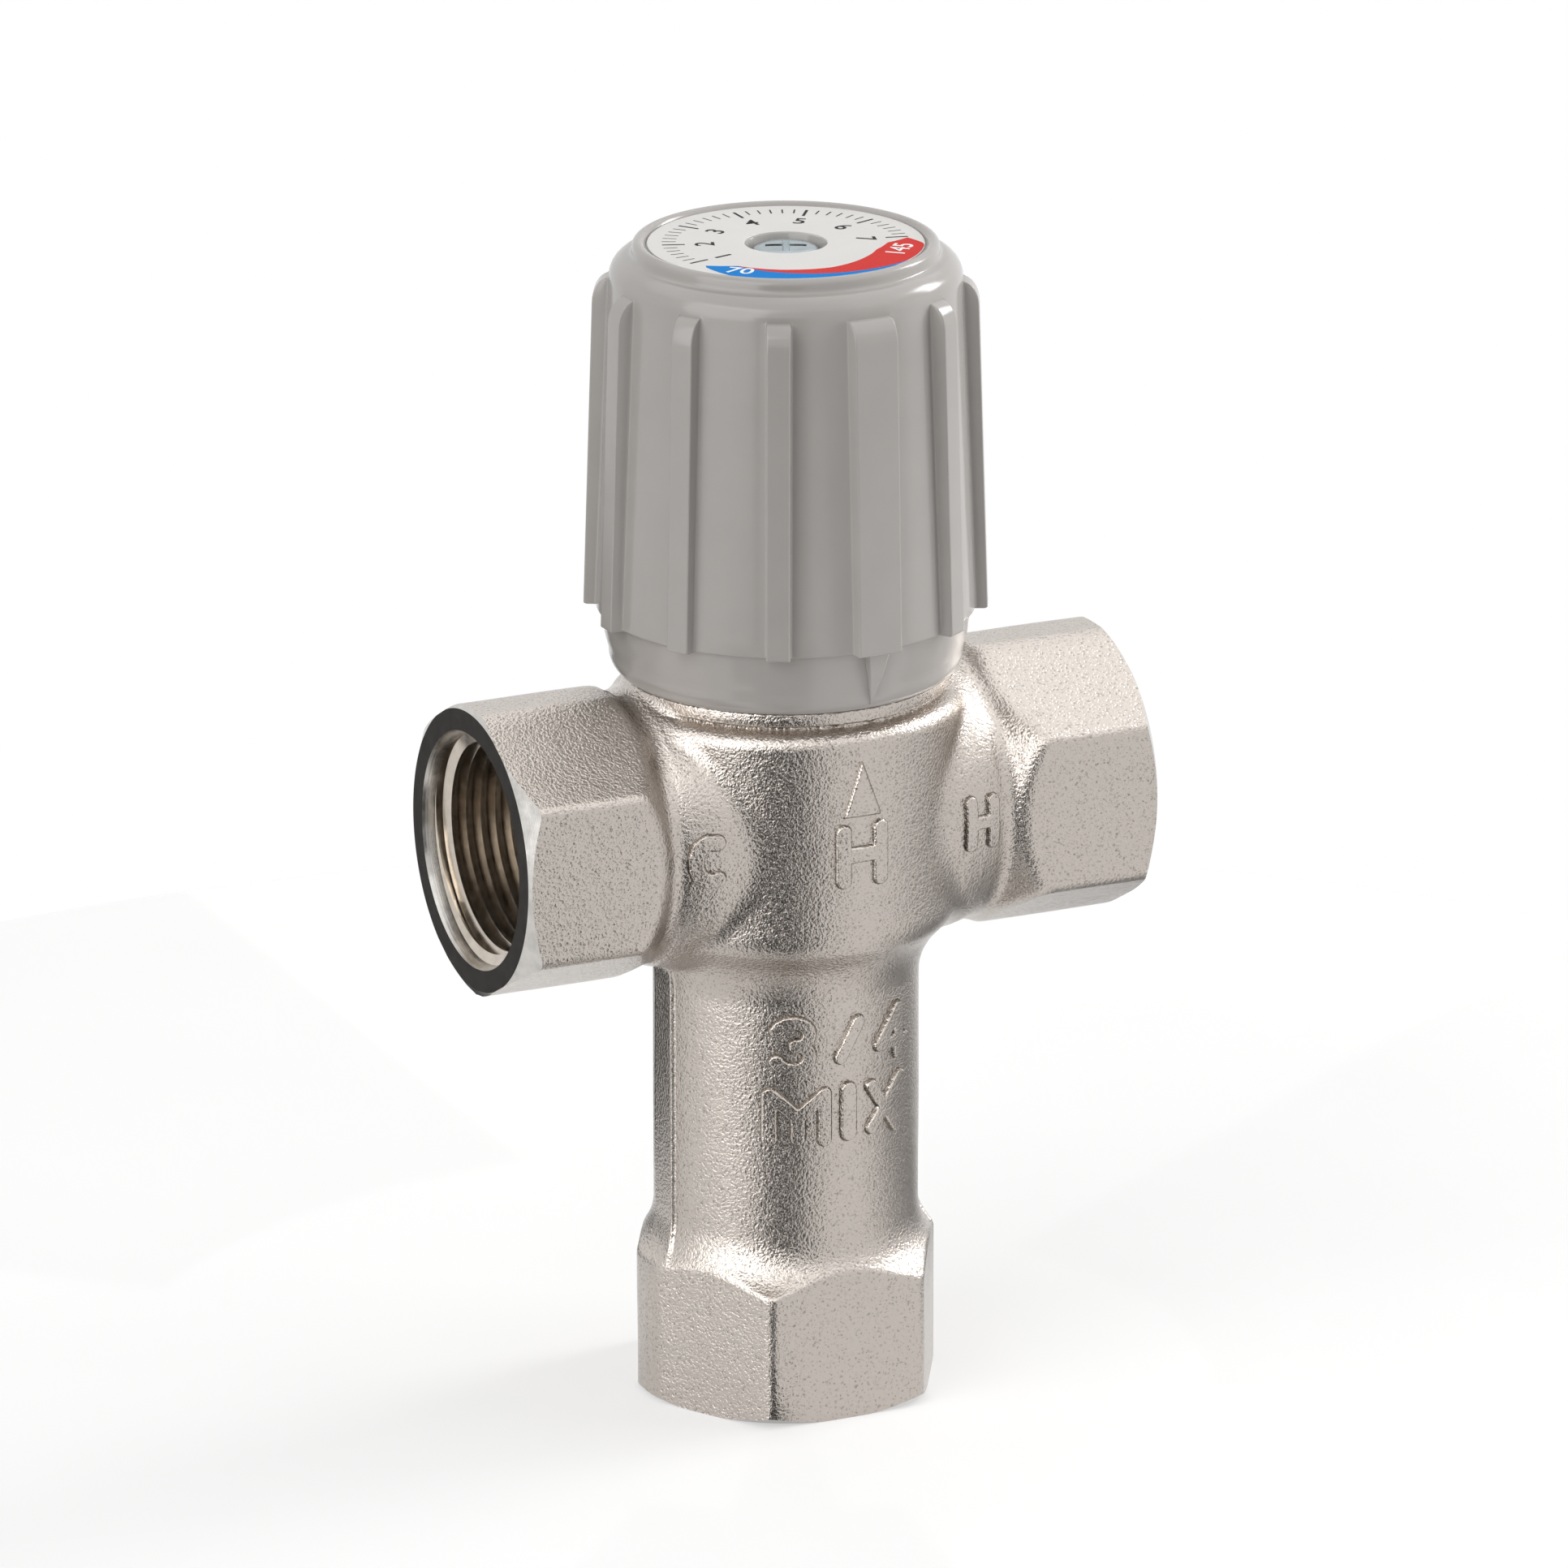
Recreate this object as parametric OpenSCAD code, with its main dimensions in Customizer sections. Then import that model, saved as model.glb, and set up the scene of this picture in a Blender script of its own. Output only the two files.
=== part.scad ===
// Thermostatic mixing valve with two horizontal inlets, a vertical outlet and a hand knob on top.
// Frame: Z up, outlet face on Z = 0, cold inlet towards -X, hot inlet towards +X, front marks towards -Y.

/* [Inlet arms] */
// Distance between the two inlet faces
port_span = 80; // [78:0.5:90]
// Height of the inlet axis above the outlet face
port_axis_z = 70.3; // [68:0.1:76]
// Width across the front and back flats of an inlet hexagon
port_af = 34; // [33:0.1:36]
// Height of the front and back flats
port_flat_h = 18.6; // [18:0.1:20]
// Distance from the axis to the trimmed top and bottom corners
port_trim_z = 17.4; // [17:0.1:18]
// Width of the trimmed strip along the top and bottom corners
port_trim_w = 5; // [4:0.1:6]
// Radius of the machined ring face
port_face_r = 16.5; // [15.5:0.1:16.8]
// Radius of the neck between barrel and hexagon
neck_r = 16.9; // [16.5:0.1:17]
// Distance from the valve axis at which the neck starts to round in
neck_x = 16.5; // [16:0.1:17.5]
// Radius of the valley between neck and hexagon
valley_r = 15.5; // [15:0.1:16]
// Distance of that valley from the valve axis
valley_x = 21.3; // [20.8:0.1:22]

/* [Pipe threads] */
// Wall radius of the three threaded bores
thread_bore_r = 12.2; // [11.8:0.1:12.6]
// Depth of the inlet bores
inlet_bore_l = 17; // [15:0.5:17.5]
// Depth of the outlet bore
outlet_bore_l = 18; // [15:0.5:20]
// Radius of the countersink at each mouth
mouth_r = 14.6; // [14:0.1:15]
// Depth of the countersink
mouth_l = 1.9; // [1.5:0.1:2.2]

/* [Forged body] */
// Radius of the barrel that the arms meet
barrel_r = 20.6; // [20.2:0.1:21.2]
// Height of the machined top face above the inlet axis
body_top_rise = 16.7; // [16.6:0.1:18]
// Height of the crease under the collar above the inlet axis
crease_rise = 14.7; // [14:0.1:15]
// Radius at the crease
crease_r = 19.2; // [19:0.1:19.6]
// Radius of the collar at the top face
collar_r = 18.4; // [18:0.1:18.8]
// Edge round at the top of the barrel
barrel_top_round = 1.9; // [1.5:0.1:2.2]
// Edge round at the bottom of the barrel
barrel_foot_round = 4; // [3:0.1:5]
// Drop from the inlet axis to the lower end of the barrel side
barrel_foot_drop = 9.8; // [9:0.1:11]
// Radius of the outlet tube
tube_r = 15.5; // [15:0.1:16]
// Fillet between tube and barrel
tube_fillet = 2; // [1:0.1:3]
// Distance of the parting land on the tube from the axis
parting_x = 15.8; // [15.7:0.1:16.4]
// Width of the parting land
parting_w = 4.6; // [3:0.1:5]

/* [Outlet hexagon] */
// Width across the flats
outlet_af = 34; // [33:0.1:36]
// Distance of the two trimmed corners from the axis
outlet_trim_x = 18.15; // [17.5:0.05:19]
// Height of the corners at their upper end
outlet_corner_z = 15.9; // [14:0.1:20]
// Radius of the lower end face
outlet_face_r = 17.2; // [16:0.1:17.4]

/* [Water ways] */
// Radius of the hot and cold chambers and of the bonnet thread
chamber_r = 15; // [14.8:0.1:15.4]
// Height of each chamber
chamber_h = 5.6; // [5.2:0.1:6]
// Radius of the land that the shuttle slides in
land_r = 12.6; // [12.4:0.1:13]
// Height of the land
land_h = 4.6; // [4:0.1:5]
// Radius of the mixing chamber below the hot seat
mix_r = 11.2; // [10.8:0.1:11.5]
// Height of the ledge that carries the return spring
ledge_z = 38; // [34:0.5:40]
// Radius of the way through the ledge
ledge_hole_r = 8.6; // [8:0.1:8.8]
// Width of the window between an inlet and its chamber
window_w = 15; // [12:0.5:16]
// Height of that window
window_h = 4.8; // [4:0.1:5]

/* [Bonnet] */
// Width across the flats of the bonnet flange
bonnet_af = 30; // [28:0.5:30.5]
// Height of the flange
bonnet_flange_h = 5; // [4:0.1:6]
// Radius of the lower neck of the bonnet
bonnet_neck_r = 11.5; // [11:0.1:12]
// Height of the lower neck
bonnet_neck_h = 12; // [11.5:0.1:13]
// Radius of the upper neck
bonnet_stem_r = 8; // [7.5:0.1:8.2]
// Height of the upper neck
bonnet_stem_h = 12; // [11.5:0.1:12.5]
// Outer radius of the stop lug
stop_lug_r = 12.6; // [11.8:0.1:13]
// Height of the stop lug
stop_lug_h = 8; // [6:0.1:10]
// Section diameter of the seal under the flange
bonnet_seal_d = 2; // [1.8:0.1:2.2]
// Width across the flats of the hexagonal nut guide
guide_af = 17; // [16.4:0.1:17.4]

/* [Spindle] */
// Radius of the journal
journal_r = 5; // [4.8:0.1:5.4]
// Radius of the threaded end
screw_end_r = 4; // [3.5:0.1:4.2]
// Length of the threaded end
screw_end_l = 12; // [10:0.5:13]
// Pitch of the setting thread
setting_pitch = 1.5; // [1:0.1:1.8]
// Radius of the thrust flange
thrust_r = 6.5; // [6:0.1:7]
// Height of the thrust flange
thrust_h = 2; // [1.5:0.1:2.4]
// Thickness of the thrust washer
washer_h = 0.5; // [0.3:0.1:0.8]
// Drop from the foot of the bonnet's upper neck to the thrust flange
thrust_drop = 1.5; // [1.3:0.1:1.8]
// Outer radius of the retaining ring
ring_r = 7; // [6.5:0.1:7.5]
// Thickness of the retaining ring
ring_h = 0.8; // [0.6:0.1:1]
// Tip radius of the splines at the knob end
spline_r = 4.6; // [4.4:0.05:4.7]
// Depth of the splines
spline_depth = 0.4; // [0.3:0.05:0.5]
// Number of splines
spline_count = 20; // [16:1:24]
// Thickness of the knob between the end of the spindle and the head of its screw
hub_web = 4; // [3:0.1:5]
// Section diameter of the spindle seals
spindle_seal_d = 1.1; // [1:0.05:1.2]

/* [Knob] */
// Turn of the pointer rib from the front of the valve at rest
knob_rest_turn = 2.7; // [0:0.1:10]
// Turn between the hot and the cold stop
knob_range = 300; // [270:5:310]
// Radius of the drum at its lower edge
drum_foot_r = 21.95; // [21.5:0.05:22.2]
// Radius of the drum below the shoulder
drum_top_r = 20.3; // [20:0.05:21]
// Height of the ribbed drum from its lower edge to the shoulder
drum_h = 39; // [38:0.5:41]
// Height of the plain skirt below the drum
skirt_h = 7.4; // [7:0.1:8]
// Radius of the skirt where it meets the drum
skirt_top_r = 21.4; // [21:0.05:21.5]
// Radius of the skirt above its rounded foot
skirt_foot_r = 20.5; // [20.2:0.05:20.8]
// Round at the foot of the skirt
skirt_round = 2.3; // [1.8:0.1:2.4]
// Round of the shoulder
shoulder_round = 2.6; // [2:0.1:3]
// Height of the rim crest above the shoulder start
rim_rise = 4.4; // [4:0.1:4.8]
// Radius of the rim crest
rim_r = 16.9; // [16.7:0.1:17]
// Radius of the knob's hollow at its mouth
hollow_foot_r = 18; // [17.6:0.1:18.1]
// Radius of the hollow at its top
hollow_top_r = 17.4; // [16:0.1:17.5]
// Thickness of the top deck
deck_h = 4; // [3.6:0.1:4.4]
// Number of ribs round the drum
rib_count = 12; // [8:1:16]
// Width of a plain rib
rib_w = 2.75; // [2:0.05:4]
// Width of the pointer rib
pointer_rib_w = 5.5; // [4.5:0.1:6]
// Radius over the ribs at their lower end
rib_foot_r = 23.35; // [23:0.05:24]
// Radius over the ribs at their upper end
rib_top_r = 22.2; // [21.9:0.05:22.6]
// Height of the rounded upper end of a rib
rib_round = 3; // [2:0.1:4]
// Radius of the hub
hub_r = 8; // [7:0.1:8.4]
// Angle that the stop rib inside the knob takes up
stop_rib_angle = 18; // [12:1:20]

/* [Label and screw] */
// Radius of the round label
label_r = 15.9; // [14.5:0.1:16]
// Thickness of the label
label_h = 0.25; // [0.2:0.05:0.4]
// Drop from the crest of the rim to the seat of the label
label_drop = 0.6; // [0.5:0.05:0.8]
// Radius of the screw recess at the label
recess_r = 4.75; // [4.5:0.05:5.2]
// Radius of the screw head
screw_head_r = 3.85; // [3.5:0.05:4]
// Height of the screw head
screw_head_h = 2.6; // [2:0.1:2.7]
// Radius of the screw shank
screw_r = 2; // [1.8:0.05:2]
// Length of the screw shank
screw_l = 12; // [8:0.5:13]

/* [Setting nut] */
// Length of the setting nut
nut_l = 18; // [17:0.5:19]
// Gap between the thrust flange and the nut at rest
nut_gap = 1.5; // [1.4:0.1:1.8]
// Length of its threaded part
nut_thread_l = 8; // [6:0.5:8.5]
// Radius of the hollow that holds the overtravel spring
nut_hollow_r = 6.6; // [6.4:0.1:6.9]
// Wire diameter of the overtravel spring
overtravel_wire = 1.2; // [0.8:0.1:1.4]
// Turns of the overtravel spring
overtravel_turns = 3; // [3:1:4]
// Height of the overtravel piston's disc
piston_h = 2.5; // [2:0.1:3]
// Thickness of the snap ring
snap_h = 0.8; // [0.6:0.1:1]

/* [Wax element] */
// Radius of the sensor cup
cup_r = 6; // [5:0.1:6.4]
// Length of the sensor cup
cup_l = 19; // [15:0.5:20]
// Radius of the crimped collar
crimp_r = 7.6; // [7.2:0.1:7.8]
// Height of the crimped collar
crimp_h = 3.8; // [3:0.1:4]
// Radius of the threaded neck
element_neck_r = 4.6; // [4.2:0.1:5]
// Radius of the pin guide above the neck
element_guide_r = 3.2; // [3:0.1:3.6]
// Height of the pin guide
element_guide_h = 4.2; // [3:0.1:4.5]
// Radius of the pin
pin_r = 1.75; // [1.5:0.05:2]
// Length of the pin
pin_l = 20.5; // [20:0.1:21]

/* [Shuttle] */
// Radial clearance of the shuttle in its land
shuttle_clear = 0.2; // [0.1:0.05:0.3]
// Gap between shuttle and each seat at rest
seat_gap = 1.3; // [1.25:0.05:1.6]
// Wall of the shuttle ring
shuttle_wall = 2.2; // [2.1:0.1:2.3]
// Radius of the shuttle hub
shuttle_hub_r = 7; // [6.8:0.1:7.3]
// Height of the hub and its spokes
spoke_h = 4; // [3.5:0.1:4.5]
// Width of a spoke
spoke_w = 3; // [2.5:0.1:4]
// Section diameter of the shuttle seal
shuttle_seal_d = 1.3; // [1.2:0.05:1.35]

/* [Return spring] */
// Wire diameter of the return spring
return_wire = 1.5; // [1.2:0.1:1.5]
// Mean radius of the return spring
return_mean_r = 9; // [8.9:0.05:9.2]
// Number of turns of the return spring
return_turns = 7; // [5:1:8]

/* [Fits] */
// Radial clearance of a pin or journal in its bore
run_clear = 0.05; // [0.03:0.01:0.08]
// Clearance of a thread drawn as a plain cylinder
thread_clear = 0.05; // [0.03:0.01:0.1]
// Clearance of a part that slides or is dropped into a pocket
slide_clear = 0.1; // [0.08:0.01:0.15]
// Gap between faces that turn over each other
face_gap = 0.3; // [0.2:0.05:0.4]
// Angle left between the stop faces at each end of the turn
stop_gap = 1.5; // [1:0.5:2]
// Overrun of cutting shapes past the faces that they open
over = 1; // [0.5:0.5:2]

/* [Hidden] */
$fn = 72;

port_half = port_span / 2;
outlet_corner_r = outlet_af / 2 / cos(30);
envelope_r = outlet_corner_r + over;
face_bevel = tan(30);
arm_bevel = 1.05;
outlet_bevel = 0.6;
mouth_step_share = 0.3;
mouth_inner_r = thread_bore_r + mouth_step_share * (mouth_r - thread_bore_r);

body_top_z = port_axis_z + body_top_rise;
crease_z = port_axis_z + crease_rise;
barrel_foot_z = port_axis_z - barrel_foot_drop;
cone_start_z = barrel_foot_z - barrel_foot_round * sin(45);
cone_start_r = barrel_r - barrel_foot_round * (1 - cos(45));
cone_end_r = tube_r + tube_fillet * (1 - cos(45));
cone_end_z = cone_start_z - (cone_start_r - cone_end_r);
tube_top_z = cone_end_z - tube_fillet * sin(45);
outlet_top_z = outlet_corner_z + outlet_bevel * (outlet_corner_r - tube_r);

hot_seat_z = port_axis_z - land_h / 2 - chamber_h;
cold_seat_z = port_axis_z + land_h / 2 + chamber_h;
window_rise = (land_h + chamber_h) / 2;

bonnet_thread_r = chamber_r - thread_clear;
bonnet_groove_w = bonnet_seal_d + 2 * slide_clear;
bonnet_groove_z = body_top_z - bonnet_groove_w - over;
bonnet_neck_z = body_top_z + bonnet_flange_h;
bonnet_stem_z = bonnet_neck_z + bonnet_neck_h;
bonnet_top_z = bonnet_stem_z + bonnet_stem_h;
stop_lug_angle = 360 - knob_range - stop_rib_angle - 2 * stop_gap;
stop_lug_turn = 90;
stop_rib_turn = stop_lug_turn - (stop_lug_angle + stop_rib_angle) / 2 - stop_gap;

thrust_top_z = bonnet_stem_z - thrust_drop;
thrust_z = thrust_top_z - thrust_h;
thrust_pocket_z = thrust_top_z + washer_h + 2 * run_clear;
thrust_pocket_r = thrust_r + face_gap;
ring_z = bonnet_top_z + face_gap;
ring_groove_share = 0.81;
ring_groove_r = ring_groove_share * journal_r;
spline_z = ring_z + ring_h + 2 * run_clear;
seal_groove_w = spindle_seal_d + 4 * slide_clear;
seal_land = bonnet_top_z - thrust_pocket_z;
seal_groove_shares = [0.25, 0.7];

knob_foot_z = body_top_z + face_gap + slide_clear * 2;
drum_z = knob_foot_z + skirt_h;
shoulder_z = drum_z + drum_h;
rim_crest_z = shoulder_z + rim_rise;
label_z = rim_crest_z - label_drop;
deck_z = label_z - deck_h;
hub_z = ring_z + ring_h + 2 * face_gap;
head_seat_z = label_z + label_h - screw_head_h - face_gap;
spindle_top_z = head_seat_z - hub_web;
rib_step = 360 / rib_count;
stop_rib_r = stop_lug_r + 2 * face_gap;
stop_rib_in_r = bonnet_stem_r + 2 * face_gap;

nut_top_z = thrust_z - nut_gap;
nut_z = nut_top_z - nut_l;
nut_hollow_top_z = nut_top_z - nut_thread_l;
snap_z = nut_z + snap_h;
snap_groove_r = nut_hollow_r + 0.75 * snap_h;
piston_z = snap_z + snap_h + run_clear;
dimple_h = piston_h / 2;

pin_top_z = piston_z + dimple_h - run_clear;
hub_top_z = port_axis_z;
spoke_z = hub_top_z - spoke_h;
crimp_z = spoke_z - crimp_h - 2 * slide_clear;
cup_z = crimp_z - cup_l + over;
guide_z = hub_top_z + slide_clear;
pin_hole_z = pin_top_z - pin_l - 3 * seat_gap;

shuttle_r = land_r - shuttle_clear;
shuttle_z = hot_seat_z + seat_gap;
shuttle_top_z = cold_seat_z - seat_gap;
shuttle_in_r = shuttle_r - shuttle_wall;
shuttle_groove_w = shuttle_seal_d + 4 * slide_clear;
shuttle_groove_r = shuttle_r - shuttle_seal_d;

coil_sides = 8;
coil_steps = 14;

function arc(r_mid, z_mid, radius, start, finish, steps = 5) =
    [for (i = [0:steps])
        let (a = start + (finish - start) * i / steps)
        [r_mid + radius * cos(a), z_mid + radius * sin(a)]];

// Outline of a ring sector, seen from above
function sector(r_in, r_out, turn, angle, steps = 4) =
    concat(
        [for (i = [0:steps]) let (a = turn - angle / 2 + angle * i / steps) [r_out * cos(a), r_out * sin(a)]],
        [for (i = [0:steps]) let (a = turn + angle / 2 - angle * i / steps) [r_in * cos(a), r_in * sin(a)]]);

module tube_of(r_out, r_in, h) {
    difference() {
        cylinder(r = r_out, h = h);
        translate([0, 0, -over]) cylinder(r = r_in, h = h + 2 * over);
    }
}

module seal_ring(r_mid, d) {
    rotate_extrude() translate([r_mid, 0]) circle(r = d / 2, $fn = 24);
}

// Coil with closed end turns, standing on Z = 0
module coil(r_mid, wire, h, turns) {
    sides = coil_sides;
    steps = coil_steps * turns;
    rise = h - wire;
    end_rise = 1.04 * wire / rise;
    function height(t) =
        t * turns < 1 ? end_rise * t * turns :
        (1 - t) * turns < 1 ? 1 - end_rise * (1 - t) * turns :
        end_rise + (1 - 2 * end_rise) * (t * turns - 1) / (turns - 2);
    rings = [for (i = [0:steps], s = [0:sides - 1])
        let (a = 360 * turns * i / steps, b = 360 * s / sides, r = r_mid + wire / 2 * cos(b))
        [r * cos(a), r * sin(a), wire / 2 + rise * height(i / steps) + wire / 2 * sin(b)]];
    skin = [for (i = [0:steps - 1], s = [0:sides - 1])
        let (n = (s + 1) % sides)
        [i * sides + s, (i + 1) * sides + s, (i + 1) * sides + n, i * sides + n]];
    ends = [[for (s = [0:sides - 1]) s], [for (s = [sides - 1:-1:0]) steps * sides + s]];
    polyhedron(points = rings, faces = concat(skin, ends));
}

// Outline of an inlet hexagon, seen along the arm
module port_outline() {
    a = port_af / 2;
    f = port_flat_h / 2;
    t = port_trim_w / 2;
    z = port_trim_z;
    polygon([[a, -f], [a, f], [t, z], [-t, z], [-a, f], [-a, -f], [-t, -z], [t, -z]]);
}

module arm_hexagon() {
    intersection() {
        translate([valley_x, 0, 0])
            rotate([90, 0, 90]) linear_extrude(port_half - valley_x) port_outline();
        rotate([0, 90, 0]) rotate_extrude() polygon([
            [0, valley_x],
            [valley_r, valley_x],
            [envelope_r, valley_x + arm_bevel * (envelope_r - valley_r)],
            [envelope_r, port_half - face_bevel * (envelope_r - port_face_r)],
            [port_face_r, port_half],
            [0, port_half]]);
    }
}

module arm_neck() {
    drop = neck_r - valley_r;
    run = valley_x - neck_x;
    round_r = (run * run + drop * drop) / (2 * drop);
    round_end = asin(run / round_r);
    steps = 5;
    rotate([0, 90, 0]) rotate_extrude() polygon(concat(
        [[0, 0], [neck_r, 0]],
        [for (i = [0:steps]) let (a = round_end * i / steps)
            [neck_r - round_r * (1 - cos(a)), neck_x + round_r * sin(a)]],
        [[valley_r, valley_x + over], [0, valley_x + over]]));
}

module barrel_and_tube() {
    rotate_extrude() polygon(concat(
        [[0, outlet_corner_z], [tube_r, outlet_corner_z]],
        arc(tube_r + tube_fillet, tube_top_z, tube_fillet, 180, 135),
        arc(barrel_r - barrel_foot_round, barrel_foot_z, barrel_foot_round, -45, 0),
        arc(barrel_r - barrel_top_round, crease_z - barrel_top_round, barrel_top_round, 0, 60),
        [[crease_r, crease_z], [collar_r, body_top_z], [0, body_top_z]]));
}

module outlet_hexagon() {
    intersection() {
        linear_extrude(outlet_top_z) intersection() {
            circle(r = outlet_corner_r, $fn = 6);
            square([2 * outlet_trim_x, 2 * outlet_af], center = true);
        }
        rotate_extrude() polygon([
            [0, 0],
            [outlet_face_r, 0],
            [envelope_r, face_bevel * (envelope_r - outlet_face_r)],
            [envelope_r, outlet_corner_z - outlet_bevel * (envelope_r - outlet_corner_r)],
            [tube_r, outlet_top_z],
            [0, outlet_top_z]]);
    }
}

module forging() {
    difference() {
        union() {
            barrel_and_tube();
            outlet_hexagon();
            translate([-parting_x, -parting_w / 2, outlet_corner_z])
                cube([2 * parting_x, parting_w, cone_start_z - outlet_corner_z]);
            for (side = [0, 1]) mirror([side, 0, 0]) translate([0, 0, port_axis_z]) {
                arm_neck();
                arm_hexagon();
            }
        }
        translate([0, 0, body_top_z]) cylinder(r = valley_x, h = neck_r);
    }
}

// Threaded bore with its countersink, mouth on Z = 0, running downwards
module pipe_bore(length) {
    translate([0, 0, -length]) cylinder(r = thread_bore_r, h = length + over);
    rotate_extrude() polygon([
        [0, -mouth_l],
        [mouth_inner_r, -mouth_l],
        [mouth_r, 0],
        [mouth_r, over],
        [0, over]]);
}

module vertical_ways() {
    translate([0, 0, hot_seat_z + chamber_h + land_h])
        cylinder(r = chamber_r, h = body_top_z - hot_seat_z);
    translate([0, 0, hot_seat_z]) cylinder(r = land_r, h = body_top_z - hot_seat_z);
    translate([0, 0, hot_seat_z]) cylinder(r = chamber_r, h = chamber_h);
    translate([0, 0, ledge_z]) cylinder(r = mix_r, h = hot_seat_z - ledge_z + over);
    cylinder(r = ledge_hole_r, h = ledge_z + over);
    mirror([0, 0, 1]) pipe_bore(outlet_bore_l);
}

module valve_body() {
    color([0.75, 0.73, 0.7]) difference() {
        forging();
        vertical_ways();
        for (side = [-1, 1]) {
            translate([side * port_half, 0, port_axis_z]) rotate([0, side * 90, 0]) pipe_bore(inlet_bore_l);
            translate([side * (port_half - inlet_bore_l + land_r) / 2, 0, port_axis_z - side * window_rise])
                cube([port_half - inlet_bore_l - land_r + over, window_w, window_h], center = true);
        }
    }
}

module bonnet() {
    color([0.72, 0.6, 0.36]) difference() {
        union() {
            translate([0, 0, cold_seat_z]) cylinder(r = bonnet_thread_r, h = body_top_z - cold_seat_z);
            translate([0, 0, body_top_z]) cylinder(r = bonnet_af / 2 / cos(30), h = bonnet_flange_h, $fn = 6);
            translate([0, 0, bonnet_neck_z]) cylinder(r = bonnet_neck_r, h = bonnet_neck_h);
            translate([0, 0, bonnet_stem_z]) cylinder(r = bonnet_stem_r, h = bonnet_stem_h);
            translate([0, 0, bonnet_stem_z]) linear_extrude(stop_lug_h)
                polygon(sector(journal_r + over, stop_lug_r, stop_lug_turn, stop_lug_angle));
        }
        translate([0, 0, bonnet_groove_z])
            tube_of(chamber_r + over, bonnet_thread_r - bonnet_seal_d - slide_clear, bonnet_groove_w);
        translate([0, 0, cold_seat_z - over])
            cylinder(r = guide_af / 2 / cos(30), h = thrust_z - cold_seat_z + over, $fn = 6);
        translate([0, 0, thrust_z - over]) cylinder(r = thrust_pocket_r, h = thrust_pocket_z - thrust_z + over);
        translate([0, 0, thrust_z]) cylinder(r = journal_r + run_clear, h = bonnet_top_z - thrust_z + over);
    }
}

module bonnet_o_ring() {
    color([0.1, 0.1, 0.1]) translate([0, 0, bonnet_groove_z + bonnet_groove_w / 2])
        seal_ring(bonnet_thread_r - bonnet_seal_d / 2, bonnet_seal_d);
}

module spline_outline(grow) {
    tip = spline_r + grow;
    root = tip - spline_depth;
    polygon([for (i = [0:2 * spline_count - 1])
        let (r = i % 2 == 0 ? tip : root, a = 180 * i / spline_count)
        [r * cos(a), r * sin(a)]]);
}

module spindle() {
    color([0.72, 0.6, 0.36]) difference() {
        union() {
            translate([0, 0, thrust_z - screw_end_l]) cylinder(r = screw_end_r, h = screw_end_l);
            translate([0, 0, thrust_z]) cylinder(r = thrust_r, h = thrust_h);
            translate([0, 0, thrust_top_z]) cylinder(r = journal_r, h = ring_z - run_clear - thrust_top_z);
            translate([0, 0, thrust_top_z]) cylinder(r = ring_groove_r, h = spline_z - thrust_top_z);
            translate([0, 0, spline_z]) linear_extrude(spindle_top_z - spline_z) spline_outline(0);
        }
        for (share = seal_groove_shares)
            translate([0, 0, thrust_pocket_z + share * seal_land - seal_groove_w / 2])
                tube_of(journal_r + over, journal_r - spindle_seal_d, seal_groove_w);
        translate([0, 0, spindle_top_z - screw_l]) cylinder(r = screw_r + thread_clear, h = screw_l + over);
    }
}

module spindle_seal(share) {
    color([0.1, 0.1, 0.1]) translate([0, 0, thrust_pocket_z + share * seal_land])
        seal_ring(journal_r - spindle_seal_d / 2, spindle_seal_d);
}

module spindle_o_ring_upper() {
    spindle_seal(seal_groove_shares[1]);
}

module spindle_o_ring_lower() {
    spindle_seal(seal_groove_shares[0]);
}

module spindle_retaining_ring() {
    color([0.45, 0.45, 0.46]) translate([0, 0, ring_z]) difference() {
        tube_of(ring_r, ring_groove_r + run_clear, ring_h);
        translate([0, -ring_groove_r / 2, -over]) cube([ring_r + over, ring_groove_r, ring_h + 2 * over]);
    }
}

module thrust_washer() {
    color([0.92, 0.92, 0.9]) translate([0, 0, thrust_top_z + run_clear])
        tube_of(thrust_r, journal_r + run_clear, washer_h);
}

// Side profile of the knob without its hollow: skirt, drum, shoulder, rim and label seat
module knob_profile() {
    groove_r = skirt_foot_r - skirt_round;
    rim_round = rim_r - label_r - 2 * slide_clear;
    shoulder_mid_r = drum_top_r - shoulder_round;
    polygon(concat(
        [[0, knob_foot_z]],
        arc(groove_r, knob_foot_z + skirt_round, skirt_round, -90, 0),
        [[skirt_top_r, drum_z], [drum_foot_r - slide_clear * 2, drum_z], [drum_foot_r, drum_z + slide_clear * 3]],
        arc(shoulder_mid_r, shoulder_z, shoulder_round, 0, 84),
        arc(rim_r, rim_crest_z - rim_round, rim_round, 20, 160),
        [[label_r + slide_clear, label_z], [0, label_z]]));
}

module knob_rib(width) {
    root_r = drum_top_r - face_gap;
    foot_z = drum_z - 2 * run_clear;
    rotate([90, 0, 0]) linear_extrude(width, center = true) polygon(concat(
        [[hollow_foot_r + over, foot_z], [rib_foot_r, foot_z], [rib_top_r, shoulder_z - rib_round]],
        [for (i = [1:5]) let (a = 90 * i / 5)
            [root_r + (rib_top_r - root_r) * cos(a), shoulder_z - rib_round * (1 - sin(a))]],
        [[hollow_foot_r + over, shoulder_z]]));
}

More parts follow.
